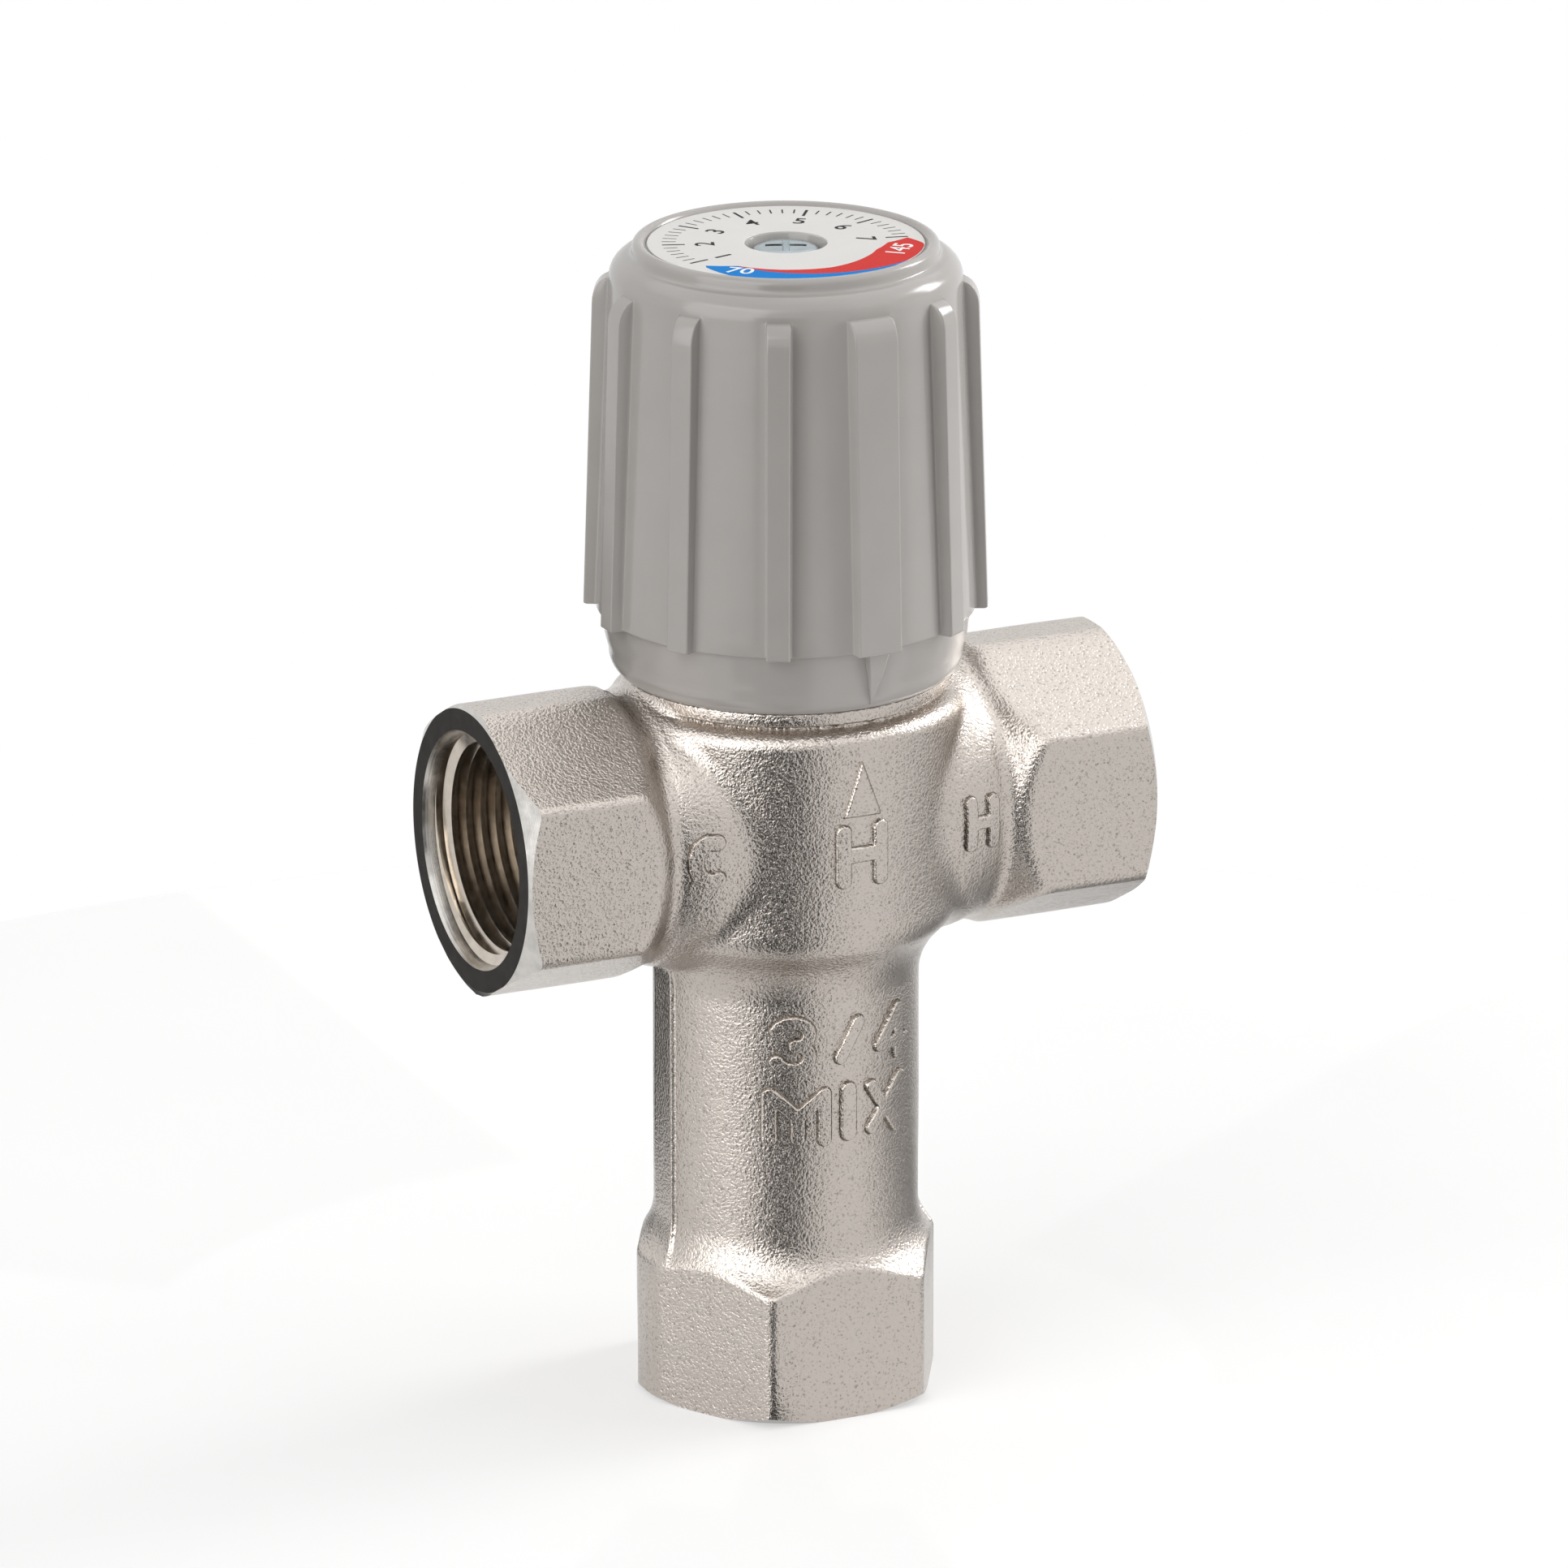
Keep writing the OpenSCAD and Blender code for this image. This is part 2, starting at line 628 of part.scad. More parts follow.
// Raised triangle on the skirt under the wide rib
module knob_pointer() {
    height = skirt_h - skirt_round / 2;
    intersection() {
        rotate([90, 0, 90]) linear_extrude(rib_foot_r)
            polygon([[-rib_w / 2, drum_z + over], [rib_w / 2, drum_z + over], [rib_w / 2, drum_z], [0, drum_z - height],
                [-rib_w / 2, drum_z]]);
        rotate_extrude() polygon([
            [hollow_foot_r + over, knob_foot_z],
            [skirt_foot_r, knob_foot_z],
            [skirt_top_r + face_gap * 2, drum_z],
            [skirt_top_r + face_gap * 2, drum_z + over],
            [hollow_foot_r + over, drum_z + over]]);
    }
}

module knob_hollow() {
    rotate_extrude() polygon([
        [0, knob_foot_z - over],
        [hollow_foot_r, knob_foot_z - over],
        [hollow_foot_r, knob_foot_z],
        [hollow_top_r, deck_z],
        [0, deck_z]]);
}

module knob_core() {
    translate([0, 0, hub_z]) cylinder(r = hub_r, h = deck_z - hub_z + over);
    translate([0, 0, hub_z]) linear_extrude(deck_z - hub_z + over)
        polygon(sector(spline_r + over, stop_rib_r, stop_rib_turn, stop_rib_angle));
    translate([0, 0, bonnet_stem_z + over]) linear_extrude(deck_z - bonnet_stem_z)
        polygon(sector(stop_rib_in_r, stop_rib_r, stop_rib_turn, stop_rib_angle));
}

module knob() {
    color([0.62, 0.61, 0.6]) difference() {
        union() {
            difference() {
                union() {
                    rotate_extrude() knob_profile();
                    rotate([0, 0, knob_rest_turn - 90]) {
                        knob_rib(pointer_rib_w);
                        knob_pointer();
                        for (i = [1:rib_count - 1]) rotate([0, 0, i * rib_step]) knob_rib(rib_w);
                    }
                }
                knob_hollow();
            }
            knob_core();
        }
        translate([0, 0, hub_z - over])
            linear_extrude(spindle_top_z - hub_z + over + face_gap) spline_outline(run_clear);
        translate([0, 0, hub_z]) cylinder(r = screw_r + slide_clear, h = label_z - hub_z);
        translate([0, 0, head_seat_z]) cylinder(r = screw_head_r + face_gap, h = label_z - head_seat_z + over);
        rotate_extrude() polygon([
            [0, label_z - screw_head_h / 2],
            [screw_head_r + face_gap, label_z - screw_head_h / 2],
            [recess_r, label_z],
            [recess_r, label_z + over],
            [0, label_z + over]]);
    }
}

module knob_label() {
    color([0.88, 0.88, 0.85]) translate([0, 0, label_z]) tube_of(label_r, recess_r, label_h);
}

module knob_screw() {
    slot_w = screw_r / 2;
    slot_l = screw_head_r * 1.2;
    color([0.7, 0.74, 0.76]) difference() {
        union() {
            translate([0, 0, head_seat_z]) cylinder(r = screw_head_r, h = screw_head_h);
            translate([0, 0, head_seat_z - screw_l]) cylinder(r = screw_r, h = screw_l + screw_head_h / 2);
        }
        for (turn = [0, 90]) rotate([0, 0, turn])
            translate([-slot_l / 2, -slot_w / 2, head_seat_z + screw_head_h / 2]) cube([slot_l, slot_w, screw_head_h]);
    }
}

module setting_nut() {
    color([0.72, 0.6, 0.36]) difference() {
        translate([0, 0, nut_z]) cylinder(r = (guide_af / 2 - slide_clear) / cos(30), h = nut_l, $fn = 6);
        translate([0, 0, nut_z - over]) cylinder(r = nut_hollow_r, h = nut_hollow_top_z - nut_z + over);
        translate([0, 0, snap_z]) cylinder(r = snap_groove_r, h = snap_h + run_clear);
        translate([0, 0, nut_z]) cylinder(r = screw_end_r + thread_clear, h = nut_l + over);
    }
}

module nut_snap_ring() {
    color([0.45, 0.45, 0.46]) translate([0, 0, snap_z]) difference() {
        tube_of(snap_groove_r - run_clear, cup_r - slide_clear, snap_h);
        translate([0, -cup_r / 4, -over]) cube([snap_groove_r + over, cup_r / 2, snap_h + 2 * over]);
    }
}

module overtravel_piston() {
    color([0.72, 0.6, 0.36]) difference() {
        union() {
            translate([0, 0, piston_z]) cylinder(r = nut_hollow_r - run_clear, h = piston_h);
            translate([0, 0, piston_z]) cylinder(r = nut_hollow_r / 2, h = 1.5 * piston_h);
        }
        translate([0, 0, piston_z - over]) cylinder(r = pin_r + run_clear, h = dimple_h + over);
    }
}

module overtravel_spring() {
    spring_z = piston_z + piston_h;
    color([0.6, 0.6, 0.62]) translate([0, 0, spring_z])
        coil(nut_hollow_r - slide_clear - overtravel_wire / 2, overtravel_wire, nut_hollow_top_z - spring_z,
            overtravel_turns);
}

module element_pin() {
    color([0.6, 0.6, 0.62]) translate([0, 0, pin_top_z - pin_l]) cylinder(r = pin_r, h = pin_l);
}

module wax_element() {
    color([0.76, 0.55, 0.34]) difference() {
        union() {
            translate([0, 0, cup_z]) rotate_extrude() polygon(concat(
                [[0, 0]],
                arc(cup_r - cup_r / 6, cup_r / 6, cup_r / 6, -90, 0),
                [[cup_r, cup_l], [0, cup_l]]));
            translate([0, 0, crimp_z]) cylinder(r = crimp_r, h = crimp_h);
            translate([0, 0, crimp_z]) cylinder(r = element_neck_r, h = guide_z - crimp_z);
            translate([0, 0, guide_z]) cylinder(r1 = element_guide_r, r2 = element_guide_r * 0.8, h = element_guide_h);
        }
        translate([0, 0, pin_hole_z]) cylinder(r = pin_r + run_clear, h = guide_z + element_guide_h + over - pin_hole_z);
    }
}

module shuttle() {
    color([0.8, 0.78, 0.72]) difference() {
        union() {
            translate([0, 0, shuttle_z]) tube_of(shuttle_r, shuttle_in_r, shuttle_top_z - shuttle_z);
            translate([0, 0, spoke_z]) cylinder(r = shuttle_hub_r, h = spoke_h);
            for (turn = [0, 90]) rotate([0, 0, turn]) translate([0, 0, spoke_z + spoke_h / 2])
                cube([2 * shuttle_in_r + shuttle_wall / 2, spoke_w, spoke_h], center = true);
        }
        translate([0, 0, spoke_z - over])
            cylinder(r = element_neck_r + thread_clear, h = spoke_h + 2 * over);
        translate([0, 0, port_axis_z - shuttle_groove_w / 2])
            tube_of(shuttle_r + over, shuttle_groove_r, shuttle_groove_w);
    }
}

module shuttle_o_ring() {
    color([0.1, 0.1, 0.1]) translate([0, 0, port_axis_z])
        seal_ring(shuttle_r - shuttle_seal_d / 2 + slide_clear, shuttle_seal_d);
}

module return_spring() {
    color([0.6, 0.6, 0.62]) translate([0, 0, ledge_z])
        coil(return_mean_r, return_wire, spoke_z - ledge_z, return_turns);
}

valve_body();
bonnet();
bonnet_o_ring();
knob();
knob_label();
knob_screw();
spindle();
spindle_o_ring_upper();
spindle_o_ring_lower();
spindle_retaining_ring();
thrust_washer();
setting_nut();
nut_snap_ring();
overtravel_piston();
overtravel_spring();
element_pin();
wax_element();
shuttle();
shuttle_o_ring();
return_spring();
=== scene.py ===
"""Looks of a water mixing valve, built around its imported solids. Sizes are in mm until a mesh is made."""

import math
import random

import bpy
import numpy as np
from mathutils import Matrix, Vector


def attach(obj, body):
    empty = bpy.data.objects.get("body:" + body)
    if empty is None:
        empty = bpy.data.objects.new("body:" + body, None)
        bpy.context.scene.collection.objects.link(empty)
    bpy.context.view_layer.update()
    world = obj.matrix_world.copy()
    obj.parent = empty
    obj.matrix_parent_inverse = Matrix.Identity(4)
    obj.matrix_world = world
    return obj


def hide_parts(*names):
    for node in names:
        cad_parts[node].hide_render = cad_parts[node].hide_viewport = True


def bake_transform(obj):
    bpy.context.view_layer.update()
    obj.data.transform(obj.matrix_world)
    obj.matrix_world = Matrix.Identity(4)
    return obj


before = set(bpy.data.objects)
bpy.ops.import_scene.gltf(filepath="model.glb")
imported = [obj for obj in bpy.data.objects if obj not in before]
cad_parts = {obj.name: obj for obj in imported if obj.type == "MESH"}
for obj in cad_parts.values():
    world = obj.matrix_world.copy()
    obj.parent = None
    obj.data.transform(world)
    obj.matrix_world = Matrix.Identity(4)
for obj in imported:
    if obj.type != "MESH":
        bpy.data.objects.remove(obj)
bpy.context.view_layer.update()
random.seed(7)
np.random.seed(7)

MM = 0.001

# Body and its three threaded mouths
PORT_Z = 70.3
FACE_X = 40.0
BORE_FLOOR_X = 23.0
BODY_TOP_Z = 87.3
HEX_HALF = 17.0
MOUTH_R = 13.95
ROOT_R = 13.5
PITCH = 1.814
TURN_SEGMENTS = 160
MOST_TRIANGLES = 190000
THINNED_TRIANGLES = 188000

# Raised marks
MARK_HEIGHT = 0.55
MIDDLE_HEIGHT = 0.5
ARROW_HEIGHT = 0.4
# Wall faces of the marks below this height get the darker nickel, as painted shade
PAINTED_SHADE_HEIGHT = 0.1

# Knob, with its ribs counted from the wide one, and the label let into its top
KNOB_TURN = math.radians(2.7)
RIBS = 12
RIB_WIDTH = 2.75
WIDE_RIB_WIDTH = 5.45
RIB_FOOT = 0.26
GAP_COLUMNS = 10
LABEL_Z = 137.7
LABEL_THICKNESS = 0.25
PRINT_LIFT = 0.012

# Camera, solved from the photograph, in pixels of its frame and in metres
PHOTO_PX = 1932.0
FOCAL_PX = 14231.0
SHIFT_PX = (-2.3, -1.9)
SENSOR_MM = 36.0
CAMERA_AZIMUTH = math.radians(-25.1)
CAMERA_ELEVATION = math.radians(18.0)
CAMERA_AIM = Vector((0, 0, 0.073))
CAMERA_DISTANCE = 1.3405


# Distance fields


def smooth_min(a, b, k):
    h = np.maximum(k - np.abs(a - b), 0.0) / k
    return np.minimum(a, b) - h * h * k * 0.25


def smooth_max(a, b, k):
    return -smooth_min(-a, -b, k)


def outline_distance(u, v, outline):
    """Signed distance to a closed outline, negative inside."""
    near = np.full(u.shape, 1e9)
    sign = np.ones(u.shape)
    last = outline[-1]
    for point in outline:
        ex, ey = last[0] - point[0], last[1] - point[1]
        wx, wy = u - point[0], v - point[1]
        t = np.clip((wx * ex + wy * ey) / (ex * ex + ey * ey), 0.0, 1.0)
        near = np.minimum(near, (wx - ex * t) ** 2 + (wy - ey * t) ** 2)
        above = v >= point[1]
        below = v < last[1]
        left = ex * wy > ey * wx
        sign = np.where((above & below & left) | (~above & ~below & ~left), -sign, sign)
        last = point
    return sign * np.sqrt(near)


def stroke_distance(u, v, line):
    """Distance to a polyline."""
    near = np.full(u.shape, 1e9)
    for a, b in zip(line[:-1], line[1:]):
        ex, ey = b[0] - a[0], b[1] - a[1]
        wx, wy = u - a[0], v - a[1]
        t = np.clip((wx * ex + wy * ey) / (ex * ex + ey * ey), 0.0, 1.0)
        near = np.minimum(near, (wx - ex * t) ** 2 + (wy - ey * t) ** 2)
    return np.sqrt(near)


def arc(cx, cy, rx, ry, start, end, steps=12):
    angles = np.radians(np.linspace(start, end, steps + 1))
    return [(cx + rx * math.cos(a), cy + ry * math.sin(a)) for a in angles]


# Raised marks of the forging, in X and Z: each is (lines, half width)
THREE = arc(-5.85, 47.4, 1.8, 1.5, 160, -80, 12)
THREE_LOW = arc(-5.85, 44.7, 1.85, 1.5, 80, -160, 12)
SIZE_MARK = [
    THREE,
    THREE_LOW,
    [(-0.35, 44.2), (1.95, 48.3)],
    [(7.8, 43.2), (7.8, 48.6), (4.9, 44.75), (8.9, 44.6)],
]
MIX_MARK = [
    [(-8.25, 34.6), (-8.25, 40.1), (-5.3, 37.3), (-2.3, 40.0), (-2.3, 34.4)],
    [(-5.3, 37.3), (-5.3, 34.7)],
    [(3.75, 40.0), (7.5, 34.3)],
    [(8.1, 40.1), (3.8, 34.9)],
]
MIX_BAR = [[(0.65, 34.9), (0.65, 40.1)]]
MIDDLE_H = [
    [(-2.3, 67.5), (-2.3, 73.2)],
    [(2.3, 67.5), (2.3, 73.4)],
    [(-2.3, 70.5), (2.3, 70.5)],
]
ARROW = [(-2.25, 75.05), (-0.05, 81.5), (2.35, 75.05)]
HOT_H = [
    [(15.7, 68.2), (15.7, 73.2)],
    [(18.7, 68.2), (18.7, 73.1)],
    [(15.7, 70.75), (18.7, 70.75)],
]
COLD_C = [
    [(-16.4, 72.9), (-17.6, 73.0), (-18.6, 72.4), (-19.0, 71.2)]
    + [(-19.0, 70.2), (-18.6, 69.1), (-17.6, 68.5), (-16.4, 68.6)]
]


def raised(x, z, lines, half_width, height, edge=0.24):
    """Height of broad lines, with walls that take up this edge."""
    near = np.full(x.shape, 1e9)
    for line in lines:
        near = np.minimum(near, stroke_distance(x, z, line))
    rise = np.clip((half_width - near) / edge + 0.5, 0.0, 1.0)
    return height * rise * rise * (3.0 - 2.0 * rise)


def mark_height(x, z):
    """Height of the raised marks on the front of the body."""
    lift = raised(x, z, SIZE_MARK, 0.78, MARK_HEIGHT) + raised(x, z, MIX_MARK, 0.8, MARK_HEIGHT)
    lift = np.maximum(lift, raised(x, z, MIX_BAR, 1.0, MARK_HEIGHT))
    lift = np.maximum(lift, raised(x, z, MIDDLE_H, 0.92, MIDDLE_HEIGHT))
    inside = np.clip(0.5 - outline_distance(x, z, ARROW) / 0.3, 0.0, 1.0)
    lift = np.maximum(lift, ARROW_HEIGHT * inside * inside * (3.0 - 2.0 * inside))
    lift = np.maximum(lift, raised(x, z, HOT_H, 0.78, MARK_HEIGHT))
    return np.maximum(lift, raised(x, z, COLD_C, 0.9, MARK_HEIGHT))


BARREL_OUTLINE = (
    [(0.0, 51.6), (12.6, 51.6), (15.0, 53.2), (16.5, 54.6)]
    + arc(16.6, 60.5, 4.0, 4.0, -45, 0, 6)
    + arc(18.7, 83.1, 1.9, 1.9, 0, 60, 6)
    + [(19.1, 84.95), (18.2, 85.2), (18.2, 85.45), (18.95, 85.75), (19.0, 86.3), (18.8, 88.6), (0.0, 88.6)]
)
NECK_OUTLINE = (
    [(0.0, 0.0), (17.05, 0.0), (17.05, 13.0), (16.9, 16.0)]
    + [(16.62, 18.0), (16.25, 19.6), (15.85, 20.8), (15.45, 21.8), (15.4, 24.0), (0.0, 24.0)]
)


def arm_field(x, y, z):
    """Neck and hexagon of one inlet arm, for both signs of X."""
    ax = np.abs(x)
    up = z - PORT_Z
    r = np.hypot(y, up)
    neck = outline_distance(r, ax, NECK_OUTLINE)
    ay = np.abs(y)
    az = np.abs(up)
    prism = smooth_max(ay - HEX_HALF, 0.490 * ay + 0.872 * az - 16.44, 0.9)
    prism = smooth_max(prism, az - 17.45, 1.7)
    cone = (21.3 + 1.05 * (r - 15.5) - ax) / 1.45
    prism = smooth_max(prism, cone, 0.9)
    prism = smooth_max(prism, ax - 41.5, 0.2)
    flash = 0.16 * np.exp(-((y / 0.42) ** 2)) + 0.05 * np.exp(-(((ay - 2.3) / 0.35) ** 2))
    prism = prism - flash * np.clip((az - 15.0) / 1.0, 0.0, 1.0)
    return smooth_min(neck, prism, 1.3)


def body_field(x, y, z):
    """The whole forging before its mouths and ways are cut: barrel, tube, foot hexagon and arms."""
    r = np.hypot(x, y)
    ax = np.abs(x)
    ay = np.abs(y)
    barrel = outline_distance(r, z, BARREL_OUTLINE)
    tube = smooth_max(r - 15.53, 8.0 - z, 0.2)
    tube = smooth_max(tube, z - 70.0, 0.2)
    land = smooth_max(ax - 15.85, ay - 2.35, 0.25)
    land = smooth_max(land, z - 58.0, 0.3)
    land = smooth_max(land, 8.0 - z, 0.3)
    tube = smooth_min(tube, land, 0.25)
    cone = (z - 15.9 - 0.6 * (19.63 - r)) / 1.166
    foot = smooth_min(tube, smooth_max(cone, -2.0 - z, 0.2), 3.6)
    flats = smooth_max(ay - HEX_HALF, 0.866 * ax + 0.5 * ay - HEX_HALF, 0.9)
    flats = smooth_max(flats, ax - 18.12, 0.6)
    flats = flats - 0.08 * np.exp(-((y / 0.4) ** 2)) * np.clip((ax - 17.0), 0.0, 1.0)
    foot = smooth_max(foot, flats, 0.4)
    column = smooth_min(barrel, foot, 2.6)
    body = smooth_min(column, arm_field(x, y, z), 1.1)
    wave = np.sin(x * 0.31 + 1.0) * np.sin(y * 0.37) * np.sin(z * 0.29 + 0.5)
    body = body + 0.05 * wave
    return smooth_max(body, z - BODY_TOP_Z, 0.25)


# Meshes


def surface_net(field, low, high, step):
    """Quad mesh on the zero level of a field, moved onto it and evened out."""
    block = 4
    count = [int(math.ceil((high[i] - low[i]) / step / block)) * block for i in range(3)]
    coarse = [low[i] + step * (np.arange(count[i] // block) * block + (block - 1) / 2) for i in range(3)]
    cx, cy, cz = np.meshgrid(*coarse, indexing="ij")
    rough = field(cx, cy, cz)
    values = np.where(rough < 0, -9.0, 9.0).astype(np.float32)
    for axis in range(3):
        values = np.repeat(values, block, axis=axis)
    near = np.argwhere(np.abs(rough) < step * block * 1.15) * block
    offsets = np.stack(np.meshgrid(*[np.arange(block)] * 3, indexing="ij"), -1).reshape(-1, 3)
    nodes = (near[:, None, :] + offsets[None]).reshape(-1, 3)
    for part in np.array_split(nodes, 8):
        at = np.array(low) + part * step
        values[part[:, 0], part[:, 1], part[:, 2]] = field(at[:, 0], at[:, 1], at[:, 2])
    inside = values < 0
    total = np.zeros([n - 1 for n in count], np.uint8)
    corners = [(i, j, k) for i in (0, 1) for j in (0, 1) for k in (0, 1)]
    for i, j, k in corners:
        total += inside[i : count[0] - 1 + i, j : count[1] - 1 + j, k : count[2] - 1 + k]
    cells = np.argwhere((total > 0) & (total < 8))
    index = np.full(total.shape, -1, np.int64)
    index[cells[:, 0], cells[:, 1], cells[:, 2]] = np.arange(len(cells))
    at_corner = {c: values[cells[:, 0] + c[0], cells[:, 1] + c[1], cells[:, 2] + c[2]] for c in corners}
    points = np.zeros((len(cells), 3))
    crossings = np.zeros(len(cells))
    for a in corners:
        for axis in range(3):
            if a[axis] == 0:
                b = tuple(1 if i == axis else a[i] for i in range(3))
                va, vb = at_corner[a], at_corner[b]
                hit = (va < 0) != (vb < 0)
                t = np.where(hit, va / np.where(hit, va - vb, 1.0), 0.0)
                for i in range(3):
                    points[:, i] += hit * (a[i] + t * (b[i] - a[i]))
                crossings += hit
    points = np.array(low) + (cells + points / crossings[:, None]) * step
    quads = []
    for axis in range(3):
        p, q = (axis + 1) % 3, (axis + 2) % 3
        here = [slice(1, -1)] * 3
        there = [slice(1, -1)] * 3
        here[axis] = slice(0, -1)
        there[axis] = slice(1, None)
        change = np.argwhere(inside[tuple(here)] != inside[tuple(there)])
        for i in range(3):
            if i != axis:
                change[:, i] += 1
        ring = []
        for dp, dq in ((-1, -1), (0, -1), (0, 0), (-1, 0)):
            cell = change.copy()
            cell[:, p] += dp
            cell[:, q] += dq
            ring.append(index[cell[:, 0], cell[:, 1], cell[:, 2]])
        quad = np.stack(ring, 1)
        outward = inside[change[:, 0], change[:, 1], change[:, 2]]
        quad[~outward] = quad[~outward][:, ::-1]
        quads.append(quad)
    quads = np.concatenate(quads)
    sides = np.concatenate([quads[:, [i, (i + 1) % 4]] for i in range(4)])
    for turn in range(4):
        if turn:
            start, end = sides.T
            total_at = [np.bincount(start, points[end, i], len(points)) for i in range(3)]
            total_at = np.stack(total_at, 1)
            number = np.bincount(start, minlength=len(points))[:, None]
            points = points * 0.5 + 0.5 * total_at / np.maximum(number, 1)
        for _ in range(2):
            slope = np.stack(
                [field(*(points + d).T) - field(*(points - d).T) for d in np.eye(3) * 0.04],
                1,
            ) / 0.08
            value = field(*points.T)
            size = np.maximum((slope**2).sum(1), 0.05)
            points = points - slope * np.clip(value / size, -0.4, 0.4)[:, None]
    return points, quads


def make_object(name, points, faces, materials=(), smooth=True, sharp=None):
    mesh = bpy.data.meshes.new(name)
    points = np.asarray(points, float) * MM
    mesh.from_pydata([tuple(p) for p in points], [], [tuple(int(i) for i in f) for f in faces])
    mesh.validate()
    for material in materials:
        mesh.materials.append(material)
    mesh.polygons.foreach_set("use_smooth", [smooth] * len(mesh.polygons))
    if sharp is not None:
        mesh.set_sharp_from_angle(angle=math.radians(sharp))
    mesh.update()
    made = bpy.data.objects.new(name, mesh)
    bpy.context.scene.collection.objects.link(made)
    return made


def along_axis(points, axis, offset=(0.0, 0.0, 0.0)):
    """Lays a shape that was made along Z along another axis, and moves it."""
    points = np.array(points)
    if axis == "x":
        points = points[:, [2, 0, 1]]
    if axis == "-x":
        points = points[:, [2, 1, 0]] * np.array([-1.0, 1.0, 1.0])
    if axis == "-z":
        points = points * np.array([1.0, -1.0, -1.0])
    return points + np.array(offset)


def revolve(profile, segments, closed=True, axis="z", offset=(0.0, 0.0, 0.0)):
    """Turns a list of (radius, height) points. Points on the axis become one vertex."""
    points = []
    rings = []
    for r, h in profile:
        if r < 1e-6:
            rings.append([len(points)] * segments)
            points.append((0.0, 0.0, h))
        else:
            rings.append(list(range(len(points), len(points) + segments)))
            for i in range(segments):
                a = 2 * math.pi * i / segments
                points.append((r * math.cos(a), r * math.sin(a), h))
    faces = []
    pairs = list(zip(rings[:-1], rings[1:]))
    if closed:
        pairs.append((rings[-1], rings[0]))
    for low, high in pairs:
        for i in range(segments):
            j = (i + 1) % segments
            face = []
            for v in (low[i], low[j], high[j], high[i]):
                if v not in face:
                    face.append(v)
            if len(face) > 2:
                faces.append(face)
    return along_axis(points, axis, offset), faces


def cut(target, cutter):
    """Takes the cutter's volume out of the target."""
    change = target.modifiers.new("cut", "BOOLEAN")
    change.operation = "DIFFERENCE"
    change.solver = "MANIFOLD"
    change.object = cutter
    bake(target)
    bpy.data.objects.remove(cutter)


def bake(target):
    """Applies the modifiers."""
    graph = bpy.context.evaluated_depsgraph_get()
    graph.update()
    mesh = bpy.data.meshes.new_from_object(target.evaluated_get(graph))
    target.modifiers.clear()
    target.data = mesh


# Materials


class Shader:
    """A material with helpers for its nodes."""

    def __init__(self, name):
        self.material = bpy.data.materials.new(name)
        self.material.use_nodes = True
        self.nodes = self.material.node_tree.nodes
        self.links = self.material.node_tree.links
        self.bsdf = self.nodes["Principled BSDF"]
        self.place = self.add("ShaderNodeTexCoord").outputs["Object"]

    def add(self, kind, **inputs):
        node = self.nodes.new(kind)
        for name, value in inputs.items():
            node.inputs[name.replace("_", " ")].default_value = value
        return node

    def link(self, a, b):
        self.links.new(a, b)

    def noise(self, size, detail=2.0, roughness=0.5, at=None):
        """Noise whose features are about this many mm."""
        node = self.add("ShaderNodeTexNoise", Scale=1.0 / (size * MM), Detail=detail, Roughness=roughness)
        self.link(at or self.place, node.inputs["Vector"])
        return node.outputs["Fac"]

    def cells(self, size, at=None):
        node = self.add("ShaderNodeTexVoronoi", Scale=1.0 / (size * MM))
        node.feature = "SMOOTH_F1"
        self.link(at or self.place, node.inputs["Vector"])
        return node.outputs["Distance"]

    def math(self, operation, a, b=None):
        node = self.nodes.new("ShaderNodeMath")
        node.operation = operation
        for i, value in enumerate((a, b)):
            if value is None:
                continue
            if isinstance(value, (int, float)):
                node.inputs[i].default_value = value
            else:
                self.link(value, node.inputs[i])
        return node.outputs[0]

    def ramp(self, value, stops):
        node = self.nodes.new("ShaderNodeValToRGB")
        self.link(value, node.inputs["Fac"])
        items = node.color_ramp.elements
        while len(items) < len(stops):
            items.new(0.5)
        for item, (at, color) in zip(items, stops):
            item.position = at
            item.color = (*color, 1.0) if len(color) == 3 else color
        return node.outputs["Color"]

    def spread(self, value, low, high, out_low, out_high):
        node = self.add("ShaderNodeMapRange")
        self.link(value, node.inputs["Value"])
        node.inputs["From Min"].default_value = low
        node.inputs["From Max"].default_value = high
        node.inputs["To Min"].default_value = out_low
        node.inputs["To Max"].default_value = out_high
        return node.outputs["Result"]

    def bump(self, height, depth, strength=1.0, after=None):
        """Relief of this many mm."""
        node = self.add("ShaderNodeBump", Strength=strength, Distance=depth * MM)
        self.link(height, node.inputs["Height"])
        if after is not None:
            self.link(after, node.inputs["Normal"])
        return node.outputs["Normal"]

    def set(self, **inputs):
        for name, value in inputs.items():
            name = name.replace("_", " ")
            if isinstance(value, (int, float, tuple)):
                self.bsdf.inputs[name].default_value = value
            else:
                self.link(value, self.bsdf.inputs[name])


def blasted_nickel(name, color):
    """Nickel plate over a blasted forging, its colour darker in the pits of the grain: grain tone with
    painted shade in the pits.
    """
    s = Shader(name)
    grain = s.noise(0.3, 2.0, 0.6)
    dents = s.cells(0.38)
    speck = s.noise(0.22, 1.0, 0.5)
    swell = s.noise(4.0, 2.0, 0.5)
    relief = s.math("ADD", grain, s.math("MULTIPLY", dents, 0.55))
    relief = s.math("ADD", relief, s.math("MULTIPLY", speck, 0.35))
    normal = s.bump(swell, 0.16, 0.5)
    normal = s.bump(relief, 0.1, 1.0, normal)
    # Base colour darker where the relief is low: partly grain tone, partly painted shade of the pits
    shade = s.ramp(relief, [(0.6, tuple(0.6 * c for c in color)), (0.84, color)])
    s.set(Base_Color=shade, Metallic=1.0, Roughness=s.spread(speck, 0.3, 0.7, 0.13, 0.26), Normal=normal)
    return s.material


